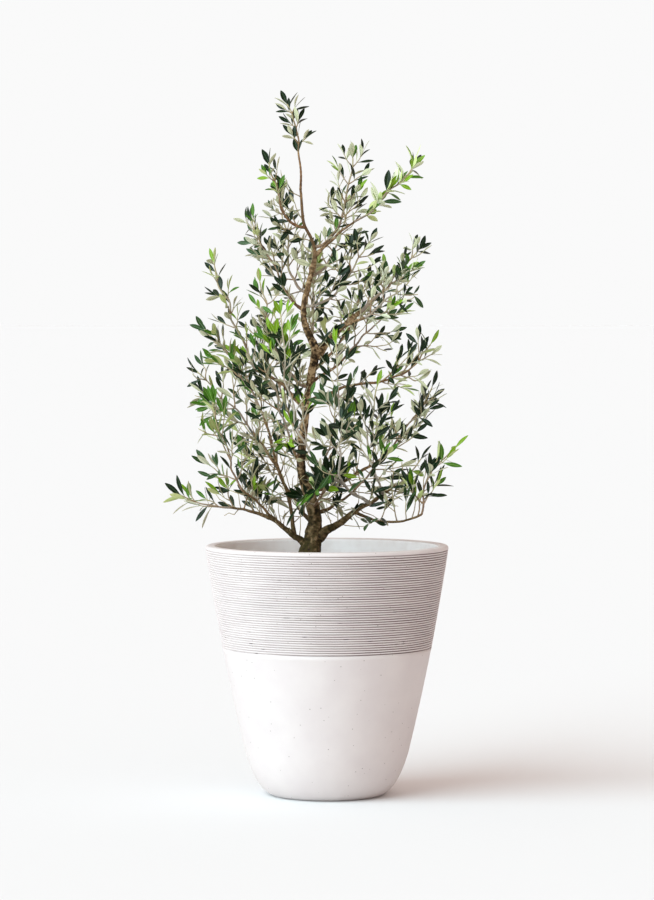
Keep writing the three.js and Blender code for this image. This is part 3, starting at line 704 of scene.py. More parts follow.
# Bark: each ring's radius is changed by long ridges, by lumps, by knots where twigs once stood, by a collar
# where a bough leaves its parent and by lobes at the trunk's foot. A ridge is noise drawn out along the
# limb, and a knot a bump of exp(-x^2) on one side.
def makeBark():
    look = barkLook
    rng = np.random.default_rng(5)
    meshes = []
    values = {"bark_ridge": [], "bark_youth": [], "bark_grey": []}
    for name, limb in limbs.items():
        line, radii = limb["line"], limb["radii"]
        angle = roundAngles(look["trunkSides" if name == "trunk" else "boughSides"])
        run = runOf(line)
        along = np.broadcast_to(run[:, None], (len(run), len(angle)))
        spot = np.dstack([radii[:, None, None] * onCircle(angle), along + rng.random()])
        ridge, lump, scales = (
            noiseAt(spot * density, size, 2, 31 + n) for n, (density, size) in enumerate(look["patterns"]))
        relief = 1 + look["ridge"] * ridge + look["lump"] * lump
        relief = relief + scales * np.minimum(look["scale"][0] / radii, look["scale"][1])[:, None]
        # painted shade: the colour follows the relief, darker in the furrows and lighter on ridges and scales
        reliefShade = (relief - 1) * look["reliefShade"][0] + look["reliefShade"][1] * scales
        at = look["knotSpacing"][0] * rng.random()
        while at < run[-1]:
            radius = np.interp(at, run, radii)
            length = look["knotLength"][0] * radius + look["knotLength"][1]
            spread = np.exp(-((run - at) / length) ** 2)[:, None]
            fade, least = look["knotFade"]
            rise = look["knotRise"] * rng.uniform(0.5, 1.5) * min(1, fade / radius + least)
            around, oneSide = look["knotSides"]
            relief = relief + rise * spread * (around + oneSide * np.cos(angle - anyTurn(rng)))
            at += rng.uniform(*look["knotSpacing"])
        if name == "trunk":
            overMix = np.clip(line[:, 2] - line[0, 2] - look["sunk"], 0, 1)
            lobes = sum(height * np.cos(count * angle + turn) for height, count, turn in look["footLobes"])
            relief = relief + np.exp(-overMix / look["footHeight"])[:, None] * lobes
        else:
            fromFork = np.clip(run - limb["parentRadius"], 0, 1)
            relief = relief * (1 + look["collar"] * np.exp(-fromFork / look["collarLength"]))[:, None]
            relief = relief * np.clip((run[-1] - run) / look["end"][0], look["end"][1], 1)[:, None]
        meshes.append(sweep(line[None], (radii[:, None] * relief)[None], len(angle)))
        palest, start, oldRadius = look["youth"]
        youth = palest * np.clip(start - radii / oldRadius, 0, 1)
        values["bark_ridge"].append(np.append(reliefShade, [0, 0]))
        values["bark_youth"].append(np.append(np.repeat(youth, len(angle)), [0, 0]))
        values["bark_grey"].append(np.full(relief.size + 2, float(name in greyShoots)))
    makePiece("trunk_and_boughs_bark", *joined(meshes), [oliveBark()], "olive_bark",
              ["trunk"] + ["bough_" + name for name in boughShapes],
              values={key: np.concatenate(numbers) for key, numbers in values.items()})


# Olive bark, as grown: grey-brown and finely ridged, with painted shade that darkens the furrows and lightens
# the ridges, mossy by the soil and pale on young wood.
def oliveBark():
    material, tree, shader = newMaterial("olive_bark_grown", {"Roughness": 0.86, "Specular IOR Level": 0.15})
    place = objectPlace(tree)
    patches = noiseOver(tree, place, 4, 6, 0.62)
    # painted shade from the relief, laid over the bark's own mottled patches
    both = mathOf(tree, "MULTIPLY_ADD", pointValue(tree, "bark_ridge"), 0.45, patches)
    wood = rampOver(tree, both, (0.32, "#21180F"), (0.45, "#4E3D2A"), (0.57, "#7C6347"), (0.76, "#BDA27E"))
    pale = tinted(tree, wood, pointValue(tree, "bark_youth"), "#8E7052")
    greyed = tinted(tree, pale, pointValue(tree, "bark_grey"), "#B5ADA1")
    height = addNode(tree, "SeparateXYZ", {0: place}).outputs["Z"]
    low = rangeOf(tree, height, 365 * mm, 500 * mm, 0.92, 0)
    moss = mathOf(tree, "MULTIPLY", low, rangeOf(tree, patches, 0.36, 0.54))
    mossy = tinted(tree, greyed, moss, "#322D10")
    setNode(tree, shader, {"Base Color": mossy, "Normal": grainOver(tree, place, 1.6, 4, 0.8, 0.9)})
    return material


makeBark()


# Foliage: the bough, trunk tip or height on the trunk that each mass grows from, the furthest leaf tip that
# it reaches, how far its twigs spread, and its seed, as in the solids
massShapes = {
    "low_left": ("low_left", (-233, -22, 447), 50, 52),
    "left_upright": ("left_upright", (-166, -66, 590), 60, 12),
    "low_left_back": ("low_left_back", (-140, 104, 552), 66, 13),
    "front_left": ("front_left", (-96, -118, 646), 62, 14),
    "left_mid_low": ("left_mid_low", (-204, 22, 624), 62, 15),
    "left_mid": ("left_mid", (-190, -30, 684), 62, 16),
    "left_upper": ("left_upper", (-168, 0, 784), 44, 17),
    "left_mid_back": ("left_mid_back", (-112, 122, 690), 62, 18),
    "low_right": ("low_right", (146, 14, 502), 54, 51),
    "low_right_tip": ("low_right_lower", (204, -44, 514), 50, 20),
    "centre_front": ("centre_front", (-66, -96, 712), 62, 21),
    "centre_right_front": ("centre_right_front", (10, -124, 670), 58, 22),
    "right_inner": ("right_inner", (74, -108, 612), 60, 23),
    "right_mid_low": ("right_mid_low", (164, 34, 606), 60, 24),
    "right_mid": ("right_mid", (163, -26, 664), 60, 53),
    "right_mid_up": ("right_mid_up", (112, 52, 718), 56, 26),
    "right_upper": ("right_upper", (145, 6, 799), 60, 27),
    "right_upper_front": ("right_upper_front", (132, -66, 752), 56, 28),
    "right_upper_back": ("right_upper_back", (66, 118, 762), 60, 29),
    "upper_left": ("upper_left", (-116, -14, 842), 58, 30),
    "upper_right": ("upper_right", (135, 0, 925), 34, 57),
    "leader": ("trunk", (-70, 0, 1006), 38, 35),
    "low_back": ("low_back", (18, 162, 572), 66, 37),
    "low_back_right": ("low_back_right", (114, 130, 538), 64, 38),
    "low_front": (414, (10, -84, 490), 50, 36),
    "front_upper_left": (585, (-98, -52, 756), 54, 39),
    "upper_back": (650, (-22, 104, 806), 58, 31),
    "upper_left_back": (720, (-66, 60, 868), 50, 40),
    "upper_right_low": (700, (72, -30, 812), 54, 41),
    "upper_right_back": (742, (34, 62, 862), 50, 42),
    "upper_centre": (784, (38, 18, 938), 52, 33),
    "top_left": (812, (-86, -14, 926), 46, 34),
}

stemBends = {  # where a stem bends, if it doesn't simply run on from its bough
    "low_left": (-185, -21, 415), "left_upright": (-150, -58, 490), "left_upper": (-128, 0, 650),
    "low_right_tip": (141, -56, 470), "upper_right": (100, 0, 856), "leader": (-37, 0, 958),
}

# Outline of the crown, as in the solids: heights, and how far it reaches to the left and right there
crownOutline = {
    "heights": np.array([378, 415, 450, 480, 525, 550, 640, 700, 790, 840, 930, 965, 1100]) * mm,
    "left": np.array([190, 238, 238, 208, 206, 206, 208, 192, 178, 118, 96, 90, 90]) * mm,
    "right": np.array([165, 170, 200, 208, 208, 176, 170, 158, 152, 150, 142, 70, 30]) * mm,
    "depth": 0.92,  # its reach to the front and back, as a share of its mean reach to the sides
}

growth = {
    "leafHeights": (450 * mm, 740 * mm), "leafLengths": (30 * mm, 23 * mm),  # shorter higher up
    "pairLeaves": (0.76, 1.22), "tipLeaves": (0.78, 1), "stemLeaves": (0.9, 1.15),  # next to those lengths
    "leafShortening": 0.12, "leafClosing": (1.1, 0.4),  # towards the end of a twig
    "leafAngles": (50, 28), "leafStray": 40, "tipAngles": (7, 24),
    "facing": (0.6, 0.4, 0.35),  # how upper sides turn along the shoot, up and outwards
    "light": (-0.14, -0.2, 0),
    "roll": 0.95,  # radians that a leaf may turn about its own line
    "nodeSpacing": 0.56, "twigNodeSpacing": 0.5,  # of a leaf's length there
    "nodeRest": 0.35, "twigNodeRest": 0.6,  # what follows the last node, as a share of that
    "lastPair": 0.99, "twigLastPair": 0.97,  # of the length
    "bareShare": 0.2, "lostLeaves": 0.36, "brightTips": 0.15,
    "brightFrom": 0.55, "brightShare": 0.7,  # of a bright shoot's length, and of its leaves from there on
    "twigAngle": 46, "twigStray": 20, "twigTurnStray": 0.5, "twigStretch": (0.8, 1.2),
    "twigOnward": 0.3, "twigRise": 0.28, "twigParts": (1.0, 0.7, 0.45),
    "twigTaper": 0.68,  # how much shorter a twig is at the end of its stem
    "twigletFrom": 34 * mm, "twigletPlaces": (0.3, 0.55), "twigletAngle": 44, "twigletShare": (0.5, 1.2),
    "stemSunk": 2.5 * mm, "stemWidening": 1.02, "stemBend": 0.3,
    "trunkShoot": 2.4 * mm, "stemTip": 0.85 * mm, "twigBase": 1.25 * mm, "twigTip": 0.62 * mm,
    "twigletBase": 0.75,  # of a twig's
    "twigGirth": (0.8, 0.25, 60 * mm),  # at least, how much more it may be, and the length that has all of it
    "crooked": (8 * mm, 34 * mm), "twigCrooked": (3 * mm, 14 * mm),
    "leafDepth": 2.5 * mm, "twigDepth": 1.5 * mm, "limbRoom": 1.0 * mm, "leafRoom": 4.2 * mm,
    "lowest": 378 * mm,
    "spurSpacing": 26 * mm, "spurLength": (20 * mm, 42 * mm), "spurAngles": (52, 72),
    "spurEnd": 4 * mm, "spurRadius": 6.6 * mm, "spurLowest": 386 * mm,  # not near a tip, on thick wood or low
    "riserLean": 34,
    "risers": {  # share with bright tips, then the share of the bough and the length in mm of each
        "low_right_lower": (0.5, (0.4, 26), (0.64, 44), (0.84, 30), (0.92, 66)),
        "low_left": (0.35, (0.34, 34), (0.48, 30), (0.6, 46), (0.72, 40), (0.84, 52), (0.95, 40)),
        "left_upright": (0.5, (0.4, 32), (0.75, 40)),
    },
}
deadTwigs = {
    "limbs": (
        "low_left", "low_right", "left_mid", "left_mid_low", "right_mid_low", "low_left_back", "low_back"),
    "count": 13, "places": (0.12, 0.97), "angles": (40, 85), "lengths": (18 * mm, 56 * mm), "rise": 0.3,
    "lowest": 370 * mm, "crooked": (5 * mm, 14 * mm), "radii": (0.85 * mm, 0.4 * mm),
}
leafKinds = ("deep", "grey", "fresh", "young")
kindShares = {  # share of grey sprays and of fresh ones, and the rest is deep green
    None: (0.26, 0), "leader": (0, 0), "low_front": (0, 0), "upper_centre": (0.08, 0),
    "upper_right": (0.1, 0), "upper_right_low": (0.1, 0), "right_mid": (0.12, 0), "right_mid_low": (0.08, 0),
    "right_inner": (0.1, 0), "centre_right_front": (0.1, 0), "right_upper": (0.12, 0),
    "left_mid_low": (0.4, 0.32), "left_mid": (0.34, 0.26), "left_upright": (0.4, 0.26),
    "low_left_back": (0.4, 0.1),
}
slimness = {  # wands, whose twigs are shorter still
    "low_left": 0.62, "left_upper": 0.62, "upper_right": 0.5, "leader": 0.55, "low_right_tip": 0.85,
    "top_left": 0.8, "right_upper": 0.85,
}
brightTips = {  # share of twigs with bright tips
    "leader": 0, "low_right_tip": 0.9, "low_left": 0.4, "left_upper": 0.5, "centre_front": 0.8,
    "upper_right": 0.8, "left_mid": 0.4, "right_upper": 0.4, "front_upper_left": 0.5, "low_front": 0.3,
    "top_left": 0.4, "upper_centre": 0.3, "right_mid_up": 0.3,
}
bareStems = {"leader": 0.38}  # share of a stem that bears no leaves
lostLeaves = {  # share of leaves that have fallen
    "leader": 0.12, "top_left": 0, "upper_centre": 0, "upper_right": 0.1, "low_front": 0, "low_left": 0.1,
    "low_right_tip": 0.1, "left_mid_low": 0.5, "left_upright": 0.5, "low_right": 0.44, "right_upper": 0.42,
    "right_upper_front": 0.52, "upper_left": 0.45, "right_mid_up": 0.48, "right_inner": 0.22,
    "centre_right_front": 0.26, "upper_left_back": 0.55, "upper_back": 0.55, "upper_right_back": 0.55,
    "upper_right_low": 0.5, "right_upper_back": 0.5, "low_back": 0.55, "low_back_right": 0.55,
    "low_left_back": 0.54, "right_mid_low": 0.3, "right_mid": 0.3, "left_mid_back": 0.42,
}
largeLeaves = {"upper_right": 1.25, "low_front": 1.35}  # how long leaves are, next to others as high up

shoots = {"stem": [], "twig": [], "twiglet": []}  # each a (line, base radius, tip radius, greyness)
leaves = []  # each a (root, way, upper side, length, kind)
leafSpots = []


# The way that leans from a shoot by an angle in degrees, towards a turn round it.
def leaning(way, turn, degrees):
    level = up if abs(way[2]) < 0.94 else np.array([0.0, 1.0, 0.0])
    side = unit(np.cross(way, level))
    out = side * math.cos(turn) + np.cross(side, way) * math.sin(turn)
    angle = math.radians(degrees)
    return unit(way * math.cos(angle) + out * math.sin(angle))


# How long leaves are at a place, and in a mass.
def leafLengthAt(place, mass=None):
    return np.interp(place[2], growth["leafHeights"], growth["leafLengths"]) * largeLeaves.get(mass, 1)


# The stem of a mass goes on the way its bough ends, or straight out of the trunk, and bends towards the
# furthest leaf tip.
def stemOf(name):
    root, reach, _, seed = massShapes[name]
    goal = np.array(reach) * mm
    if isinstance(root, str):
        line = limbs[root]["line"]
        way = unit(line[-1] - line[-2])
        start = line[-1] - way * growth["stemSunk"]
        radius = limbs[root]["radii"][-1] * growth["stemWidening"]
    else:
        start = heightOn(limbs["trunk"]["line"], root * mm)
        way = unit((goal - start) * np.array([1, 1, 0]))
        radius = growth["trunkShoot"]
    bend = start + way * np.linalg.norm(goal - start) * growth["stemBend"]
    if name in stemBends:
        bend = np.array(stemBends[name]) * mm
    tip = goal - unit(goal - bend) * leafLengthAt(goal)
    return crooked(bentLine(start, bend, tip, 41), *growth["crooked"], seed), radius


stems = {name: stemOf(name) for name in massShapes}
stemNames = list(stems)
stemFrom = np.stack([line[:-1:5] for line, _ in stems.values()])
stemTo = np.stack([line[5::5] for line, _ in stems.values()])
limbFrom = np.vstack([limb["line"][:-4:4] for limb in limbs.values()])
limbTo = np.vstack([limb["line"][4::4][:len(limb["line"][:-4:4])] for limb in limbs.values()])
limbRadii = np.concatenate([limb["radii"][:-4:4] for limb in limbs.values()])


# Distances from places to straight pieces.
def distances(places, starts, ends):
    run = ends - starts
    share = ((places[..., None, :] - starts) * run).sum(axis=-1) / (run * run).sum(axis=-1)
    nearest = starts + np.clip(share, 0, 1)[..., None] * run
    return np.linalg.norm(places[..., None, :] - nearest, axis=-1)


# The crown's outline is an ellipse at every height.
def inCrown(places):
    crown = crownOutline
    left, right = (np.interp(places[:, 2], crown["heights"], crown[key]) for key in ("left", "right"))
    half = (left + right) / 2
    across = (places[:, 0] - (right - left) / 2) / half
    return bool((across ** 2 + (places[:, 1] / (half * crown["depth"])) ** 2 < 1).all())


# A mass's own space holds the places in the crown that are nearer to its stem than to any other.
def inOwnSpace(mass, places):
    if places[:, 2].min() < growth["lowest"] or not inCrown(places):
        return False
    if mass is None:
        return True
    away = distances(places[:, None], stemFrom, stemTo).min(axis=-1)
    return bool((away.argmin(axis=-1) == stemNames.index(mass)).all())


# Places are clear of the limbs where half a leaf's or twig's thickness, and some room, is left.
def clearOfLimbs(places, depth):
    room = distances(places, limbFrom, limbTo) - limbRadii
    return bool(room.min() > depth + growth["limbRoom"])


# A leaf where there is room for it, on its root and way. Its upper side looks along the shoot and upwards.
def addLeaf(rng, mass, root, way, shootWay, length, kind):
    places = root + way * length * np.array([0.35, 0.7, 1.0])[:, None]
    if not inOwnSpace(mass, places[1:]) or not clearOfLimbs(places, growth["leafDepth"]):
        return False
    if leafSpots and np.linalg.norm(np.array(leafSpots) - places[1], axis=-1).min() < growth["leafRoom"]:
        return False
    leafSpots.append(places[1])
    outward = unit((root - limbs["trunk"]["line"][0]) * np.array([1, 1, 0]))
    alongShare, upShare, outShare = growth["facing"]
    upper = shootWay * alongShare + up * upShare + outward * outShare + np.array(growth["light"])
    upper = upper - way * (upper * way).sum()
    side = np.cross(upper, way)
    roll = strayed(rng, 2 * growth["roll"])
    leaves.append((root, way, unit(upper * math.cos(roll) + side * math.sin(roll)), length, kind))
    return True


# A side leaf stands off its shoot, or lies closer to it where it would leave its mass's space.
def addSideLeaf(rng, mass, root, along, turn, length, kind, closer):
    lean = strayed(rng, growth["leafStray"])
    if rng.random() < lostLeaves.get(mass, growth["lostLeaves"]):
        return
    for angle in growth["leafAngles"]:
        if addLeaf(rng, mass, root, leaning(along, turn, angle * closer + lean), along, length, kind):
            return


# Towards the end of a bright shoot, most leaves are fresh or young.
def kindOn(rng, kind, bright, share):
    isBright = bright and share > growth["brightFrom"] and rng.random() < growth["brightShare"]
    return rng.integers(2, 4) if isBright else kind


# The leaves of a shoot: pairs at its nodes, each a quarter turn round from the last, and an upright pair at
# its end. They get shorter and stand closer towards the end.
def addPairs(rng, mass, line, nodes, turn, kind, bright):
    atRoot, closing = growth["leafClosing"]
    for node in range(1, nodes + 1):
        share = node / (nodes + growth["twigNodeRest"])
        place, along = placeOn(line, share)
        for half in (0, np.pi):
            length = leafLengthAt(place, mass) * rng.uniform(*growth["pairLeaves"])
            length *= 1 - growth["leafShortening"] * share
            leafKind = kindOn(rng, kind, bright, share)
            side = turn + node * np.pi / 2 + half
            addSideLeaf(rng, mass, place, along, side, length, leafKind, atRoot - closing * share)
    place, along = placeOn(line, growth["twigLastPair"])
    ends = turn + (nodes + 1) * np.pi / 2
    for half, angle in zip((0, np.pi), growth["tipAngles"]):
        length = leafLengthAt(place, mass) * rng.uniform(*growth["tipLeaves"])
        tipKind = rng.integers(2, 4) if bright else kind
        addLeaf(rng, mass, place, leaning(along, ends + half, angle), along, length, tipKind)


# A side twig with its leaves. It bends the way its shoot grows, and upwards, and a long one bears twiglets.
def addTwig(rng, mass, root, way, shootWay, length, turn, kind, bright, order="twig"):
    bend = root + way * length * 0.5
    onward = unit(way + shootWay * growth["twigOnward"] + up * growth["twigRise"])
    tip = bend + onward * length * 0.5
    ends = np.stack([bend, tip])
    if not inOwnSpace(mass, ends) or not clearOfLimbs(ends, growth["twigDepth"]):
        return False
    line = crooked(bentLine(root, bend, tip, 13), *growth["twigCrooked"], int(rng.integers(1000)), True)
    least, more, fullLength = growth["twigGirth"]
    girth = (1 if order == "twig" else growth["twigletBase"]) * (least + more * min(1, length / fullLength))
    shoots[order].append((line, growth["twigBase"] * girth, growth["twigTip"], greynessOf(rng, mass)))
    nodes = max(1, int(length / (growth["twigNodeSpacing"] * leafLengthAt(root))))
    addPairs(rng, mass, line, nodes, turn, kind, bright)
    if order == "twig" and length > growth["twigletFrom"]:
        part, reach = growth["twigletShare"]
        for share in growth["twigletPlaces"]:
            place, along = placeOn(line, share)
            side = turn + anyTurn(rng)
            way = leaning(along, side, growth["twigletAngle"])
            size = length * part * (reach - share)
            addTwig(rng, mass, place, way, along, size, side, kind, bright, "twiglet")
    return True


# The kind of a spray that isn't bright: deep, or grey or fresh on some.
def pickKind(rng, mass=None):
    greyShare, freshShare = kindShares.get(mass, kindShares[None])
    draw = rng.random()
    return 1 if draw < greyShare else 2 if draw > 1 - freshShare else 0


# Wood is grey on some masses, and more or less brown on the others.
def greynessOf(rng, mass):
    return 1.0 if mass in greyShoots else 0.6 * rng.random() * (mass != "leader")


# One mass: twigs branch in pairs from every second node of its stem, and leaves sit in pairs on the rest.
def growMass(name):
    spread, seed = massShapes[name][2:]
    rng = np.random.default_rng(seed)
    line, radius = stems[name]
    shoots["stem"].append((line, radius, growth["stemTip"], greynessOf(rng, name)))
    nodes = max(3, round(runOf(line)[-1] / (growth["nodeSpacing"] * leafLengthAt(line[20]))))
    brightShare = brightTips.get(name, growth["brightTips"])
    firstTurn = rng.random() * np.pi
    for node in range(1, nodes + 1):
        share = node / (nodes + growth["nodeRest"])
        place, along = placeOn(line, share)
        turn = firstTurn + node * np.pi / 2 + strayed(rng, growth["twigTurnStray"])
        if share < bareStems.get(name, 0):
            continue
        for half in (0, np.pi):
            kind = pickKind(rng, name)
            bright = rng.random() < brightShare
            stretch = rng.uniform(*growth["twigStretch"])
            way = leaning(along, turn + half, growth["twigAngle"] + strayed(rng, growth["twigStray"]))
            twigLength = spread * mm * slimness.get(name, 1) * (1 - growth["twigTaper"] * share) * stretch
            grown = node % 2 == 1 and node < nodes and any(
                addTwig(rng, name, place, way, along, twigLength * part, turn, kind, bright)
                for part in growth["twigParts"]
            )
            if not grown and share > growth["bareShare"]:
                leafLength = leafLengthAt(place, name) * rng.uniform(*growth["stemLeaves"])
                sideKind = kindOn(rng, kind, bright, share)
                addSideLeaf(rng, name, place, along, turn + half, leafLength, sideKind, 1)
    place, along = placeOn(line, growth["lastPair"])
    tipKind = 3 if rng.random() < brightShare else pickKind(rng, name)
    for half, angle in zip((0, np.pi), growth["tipAngles"]):
        way = leaning(along, firstTurn + half, angle)
        addLeaf(rng, name, place, way, along, leafLengthAt(place, name), tipKind)


# Short leafy spurs stand on the thinner stretches of the limbs.
def growSpurs():
    rng = np.random.default_rng(77)
    for limb in limbs.values():
        length = runOf(limb["line"])[-1]
        at = growth["spurSpacing"] * rng.uniform(0.5, 1.5)
        while at < length - growth["spurEnd"]:
            place, along = placeOn(limb["line"], at / length)
            radius = radiusAt(limb["radii"], at / length)
            if radius < growth["spurRadius"] and place[2] > growth["spurLowest"]:
                turn = anyTurn(rng)
                way = leaning(along, turn, rng.uniform(*growth["spurAngles"]))
                addTwig(rng, None, place, way, up, radius + rng.uniform(*growth["spurLength"]), turn,
                        pickKind(rng), rng.random() < growth["brightTips"], "twiglet")
            at += growth["spurSpacing"] * rng.uniform(0.6, 1.4)


# Longer leafy shoots that rise from a bough at given shares of its length, and dead twigs, thin, bare and
# crooked, on the lower limbs.
def growRisers():
    rng = np.random.default_rng(78)
    for name, (brightShare, *risers) in growth["risers"].items():
        for share, length in risers:
            way = leaning(up, anyTurn(rng), growth["riserLean"] * rng.random())
            bright = rng.random() < brightShare
            place = placeOn(limbs[name]["line"], share)[0]
            addTwig(rng, None, place, way, up, length * mm, anyTurn(rng), 0, bright)
    for name in deadTwigs["limbs"]:
        for share in rng.uniform(*deadTwigs["places"], deadTwigs["count"]):
            place, along = placeOn(limbs[name]["line"], share)
            way = leaning(along, anyTurn(rng), rng.uniform(*deadTwigs["angles"]))
            length = rng.uniform(*deadTwigs["lengths"])
            tip = place + unit(way + up * deadTwigs["rise"]) * length
            if tip[2] > deadTwigs["lowest"]:
                path = bentLine(place, place + way * length * 0.5, tip, 13)
                path = crooked(path, *deadTwigs["crooked"], int(rng.integers(1000)), True)
                shoots["twiglet"].append((path, *deadTwigs["radii"], 0.0))


for massName in massShapes:
    growMass(massName)
growSpurs()
growRisers()
print("grown:", {order: len(found) for order, found in shoots.items()}, "shoots and", len(leaves), "leaves")


shootLook = {  # rings, sides, swelling at the nodes, and how young the base is
    "stem": (41, 8, 0.13, 0.15), "twig": (13, 6, 0.1, 0.5), "twiglet": (7, 5, 0.08, 0.7),
}


# Shoots: tubes that taper from base to tip by the share^0.6 along them, with a slight swelling at every node.
def makeShoots():
    meshes, youths, greys = [], [], []
    for order, (rings, sides, swelling, baseYouth) in shootLook.items():
        lines = np.stack([evenly(shoot[0], rings) for shoot in shoots[order]])
        bases, tips, greyness = (np.array([shoot[i] for shoot in shoots[order]])[:, None] for i in (1, 2, 3))
        share = np.linspace(0, 1, rings)
        radii = bases + (tips - bases) * share ** 0.6
        radii = radii * (1 + swelling * np.cos(np.arange(rings) * np.pi / 2) ** 2)
        meshes.append(sweep(lines, radii, sides))
        youth = np.append(np.repeat(baseYouth + (1 - baseYouth) * share, sides), [1, 1])
        youths.append(np.tile(youth, len(lines)))
        greys.append(np.repeat(greyness, len(youth)))
    makePiece("leafy_shoots", *joined(meshes), [shootBark()], "olive_bark",
              ["foliage_" + name for name in massShapes],
              values={"shoot_youth": np.concatenate(youths), "shoot_grey": np.concatenate(greys)})


# Young olive wood, as grown: smooth and grey-beige, turning pale green at the tips.
def shootBark():
    material, tree, shader = newMaterial("olive_shoot_grown", {"Roughness": 0.7, "Specular IOR Level": 0.2})
    patches = noiseOver(tree, objectPlace(tree), 8, 3)
    wood = rampOver(tree, patches, (0.3, "#4C3522"), (0.5, "#755438"), (0.72, "#A0805B"))
    greyed = tinted(tree, wood, pointValue(tree, "shoot_grey"), "#B5ADA1")
    fading = mathOf(tree, "POWER", pointValue(tree, "shoot_youth"), 4)
    setNode(tree, shader, {"Base Color": tinted(tree, greyed, fading, "#B9AF86")})
    return material


makeShoots()


# Leaves

leafLook = {
    "widths": (0.245, 0.32),  # of its length, low and high in the crown
    "breadths": (0.86, 1.12),  # next to those
    "stalk": 0.08,  # share of its length
    "stalkRadius": 0.45 * mm,
    "stalkDepth": 1.6,  # of that radius, on its underside
    "ribRadius": 0.28 * mm, "ribTaper": 1.15,
    "thickness": 0.4 * mm, "thicknessTaper": 1.4,
    "outline": (1.12, 0.8),  # exponents
    "stations": (0.0, 0.08, 0.17, 0.33, 0.5, 0.67, 0.83, 0.94),
    "droop": (0.02, 0.14), "rising": 0.12,  # of its length, and share of leaves that curve up
    "sway": (-0.06, 0.06), "fold": (0.05, 0.45), "twist": (-0.35, 0.35),
    "colours": {  # upper side, underside, rib
        "deep": ("#0E220A", "#CACBA7", "#42593A"),
        "grey": ("#2C4721", "#D4D5B8", "#6C8262"),
        "fresh": ("#3D6713", "#BCC882", "#7F9C4E"),
        "young": ("#6E9214", "#C6CE8E", "#AABC6C"),
    },
    "finishes": {
        "olive_leaf_upper_": {"Roughness": 0.36, "Specular IOR Level": 0.18},
        "olive_leaf_scaly_under_": {
            "Roughness": 0.75, "Specular IOR Level": 0.2, "Sheen Weight": 0.1, "Sheen Roughness": 0.5},
        "olive_leaf_rib_": {"Roughness": 0.6},
    },
}


# All leaves of a kind. A leaf is a closed blade of six points a station: two edges, and two points either
# side of the rib above and below. Its half width is that of a stalk and then (sin(pi s^1.12))^0.8 of the
# widest, it droops by the square of the share along it, and its halves fold up about the rib.
def makeLeaves(kind, name):
    look = leafLook
    chosen = [leaf for leaf in leaves if leaf[4] == kind]
    count = len(chosen)
    one = (count, 1, 1)
    rng = np.random.default_rng(200 + kind)
    root, way, upper = (np.array([leaf[i] for leaf in chosen])[:, None] for i in range(3))
    length = np.array([leaf[3] for leaf in chosen])[:, None, None]
    across = np.cross(upper, way)
    droop = rng.uniform(*look["droop"], one) * np.sign(rng.random(one) - look["rising"])
    sway, fold, twist, breadth = (
        rng.uniform(*look[key], one) for key in ("sway", "fold", "twist", "breadths"))
    broad = np.interp(root[..., 2:], growth["leafHeights"], look["widths"]) * breadth
    t = np.array(look["stations"])[None, :, None]
    middle = root + way * length * t - upper * length * droop * t ** 2 + across * length * sway * t ** 2
    lifted = unit(upper + way * 2 * droop * t)
    side = across * np.cos(twist * t) + lifted * np.sin(twist * t)
    lifted = np.cross(way, side)
    s = np.clip((t - look["stalk"]) / (1 - look["stalk"]), 0, 1)
    first, second = look["outline"]
    blade = np.sin(np.pi * s ** first) ** second * length * broad / 2
    half = np.maximum(blade, look["stalkRadius"])
    rib = np.minimum(look["ribRadius"] * (look["ribTaper"] - s), half * 0.5)
    stalkDepth = look["stalkRadius"] * look["stalkDepth"]
    under = np.where(t <= look["stalk"], stalkDepth, look["thickness"] * (look["thicknessTaper"] - s))
    raised = lifted * fold * (half - look["stalkRadius"])
    rows = np.stack([
        middle - side * half + raised, middle - side * rib,
        middle + side * rib, middle + side * half + raised,
        middle + side * rib - lifted * under, middle - side * rib - lifted * under,
    ], axis=2)
    tip = root + way * length - upper * length * droop + across * length * sway
    stations, corners = rows.shape[1:3]
    points = np.concatenate([rows.reshape(count, -1, 3), middle[:, :1], tip], axis=1)
    step = stations * corners + 2
    faces = [repeated(part[:, ::-1], count, step) for part in ringFaces(stations, corners)]
    bands = np.array([0, 2, 0, 1, 2, 1])
    kinds = [np.tile(bands, stations - 1), np.append(np.full(corners, 2), bands)]
    edge = np.tile([True, False, False, True, False, False], stations)
    makePiece("leaves_" + name, points.reshape(-1, 3), faces, leafMaterials(name), "olive_leaves",
              kinds=np.concatenate([np.tile(part, count) for part in kinds]),
              sharp=np.tile(np.append(edge, [False, True]), count))


# Olive leaves, as grown: a leathery, faintly glossy upper side, and an underside made pale and matt by
# fine silvery scales. Each kind is one plain colour a side, and the rib is paler.
def leafMaterials(name):
    return [
        newMaterial(side + name, {"Base Color": linearColour(code), **finish})[0]
        for (side, finish), code in zip(leafLook["finishes"].items(), leafLook["colours"][name])
    ]


for kindNumber, kindName in enumerate(leafKinds):
    makeLeaves(kindNumber, kindName)


# Studio: a white floor that meets a white sky, a soft key light from the left and front, and the camera

studio = {
    "floor": 0.78,  # how much light it gives back
    "floorReach": 400,
    "open": 0.955,  # brightness of the floor and the backdrop, just under white
    "sky": (0.81, 0.685, 0.635),
    "skyLean": 0.12,  # how much brighter the sky is on the left, and darker on the right
    "keyTurn": 38, "keyHeight": 27, "keySoftness": 62,  # degrees: from the left to the front, up, its width
    "cameraPlace": (0, -5, 0.68), "cameraTarget": (0, 0, 0.494),
    "lens": 140, "sensor": 36, "sight": 2000,
}


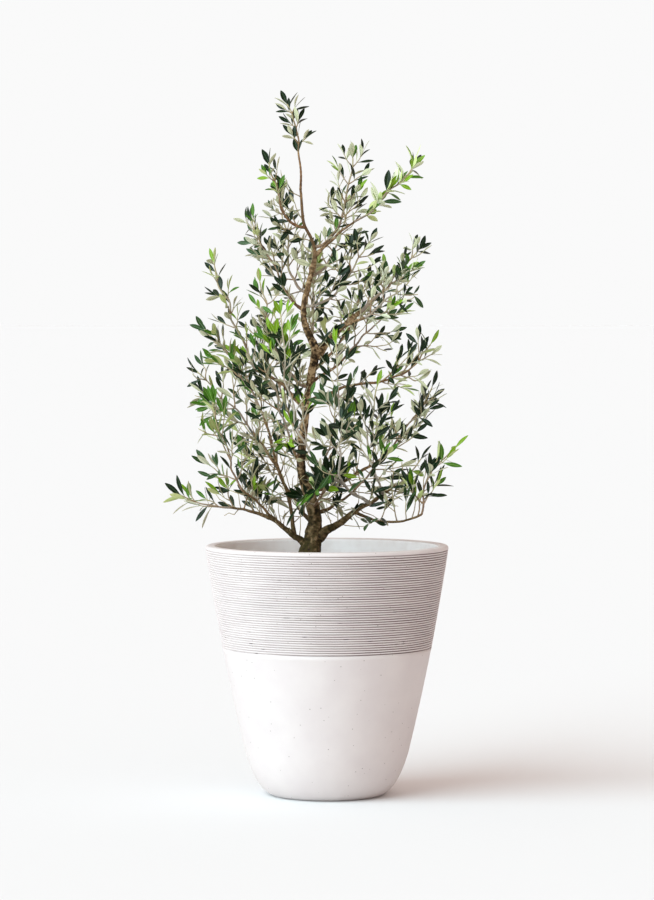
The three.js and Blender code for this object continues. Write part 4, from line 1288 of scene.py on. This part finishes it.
# The key light gives the open floor what the sky leaves of its brightness, and only the camera sees the
# backdrop's brightness instead of the sky's.
def makeStudio():
    look = studio
    scene = bpy.context.scene
    scene.view_settings.view_transform = "Standard"
    world = bpy.data.worlds.new("studio_sky")
    scene.world = world
    world.use_nodes = True
    tree = world.node_tree
    tree.nodes.clear()
    way = addNode(tree, "TexCoord", {}).outputs["Generated"]
    sideways = addNode(tree, "SeparateXYZ", {0: way}).outputs["X"]
    lean = mathOf(tree, "MULTIPLY_ADD", sideways, -look["skyLean"], 1)
    light = addNode(tree, "Background", {"Color": look["sky"] + (1,), "Strength": lean})
    seen = addNode(tree, "Background", {"Color": (look["open"],) * 3 + (1,)})
    path = addNode(tree, "LightPath", {})
    choice = addNode(tree, "MixShader", {
        0: path.outputs["Is Camera Ray"], 1: light.outputs["Background"], 2: seen.outputs["Background"]})
    addNode(tree, "OutputWorld", {"Surface": choice.outputs["Shader"]})

    turn, height = (math.radians(look[key]) for key in ("keyTurn", "keyHeight"))
    left = [(look["open"] / look["floor"] - part) / math.sin(height) for part in look["sky"]]
    sun = bpy.data.lights.new("key_light", "SUN")
    sun.angle = math.radians(look["keySoftness"])
    sun.energy = math.pi * max(left)
    sun.color = [part / max(left) for part in left]
    shown("key_light", sun).rotation_euler = (math.pi / 2 - height, 0, turn - math.pi / 2)

    floorMaterial = newMaterial("studio_paper_matt", {
        "Base Color": (look["floor"],) * 3 + (1,), "Roughness": 1.0, "Specular IOR Level": 0.0})[0]
    far = look["floorReach"]
    mesh = bpy.data.meshes.new("studio_floor")
    mesh.from_pydata([(-far, -far, 0), (far, -far, 0), (far, far, 0), (-far, far, 0)], [], [(0, 1, 2, 3)])
    mesh.materials.append(floorMaterial)
    floor = shown("studio_floor", mesh)

    camera = bpy.data.cameras.new("camera")
    camera.lens = look["lens"]
    camera.sensor_width = look["sensor"]
    camera.clip_end = look["sight"]
    holder = shown("camera", camera)
    place, target = (np.array(look[key]) for key in ("cameraPlace", "cameraTarget"))
    run = target - place
    rise = math.atan2(run[2], np.linalg.norm(run[:2]))
    holder.location = place
    holder.rotation_euler = (math.pi / 2 + rise, 0, math.atan2(-run[0], run[1]))
    scene.camera = holder
    print("studio ready")


makeStudio()
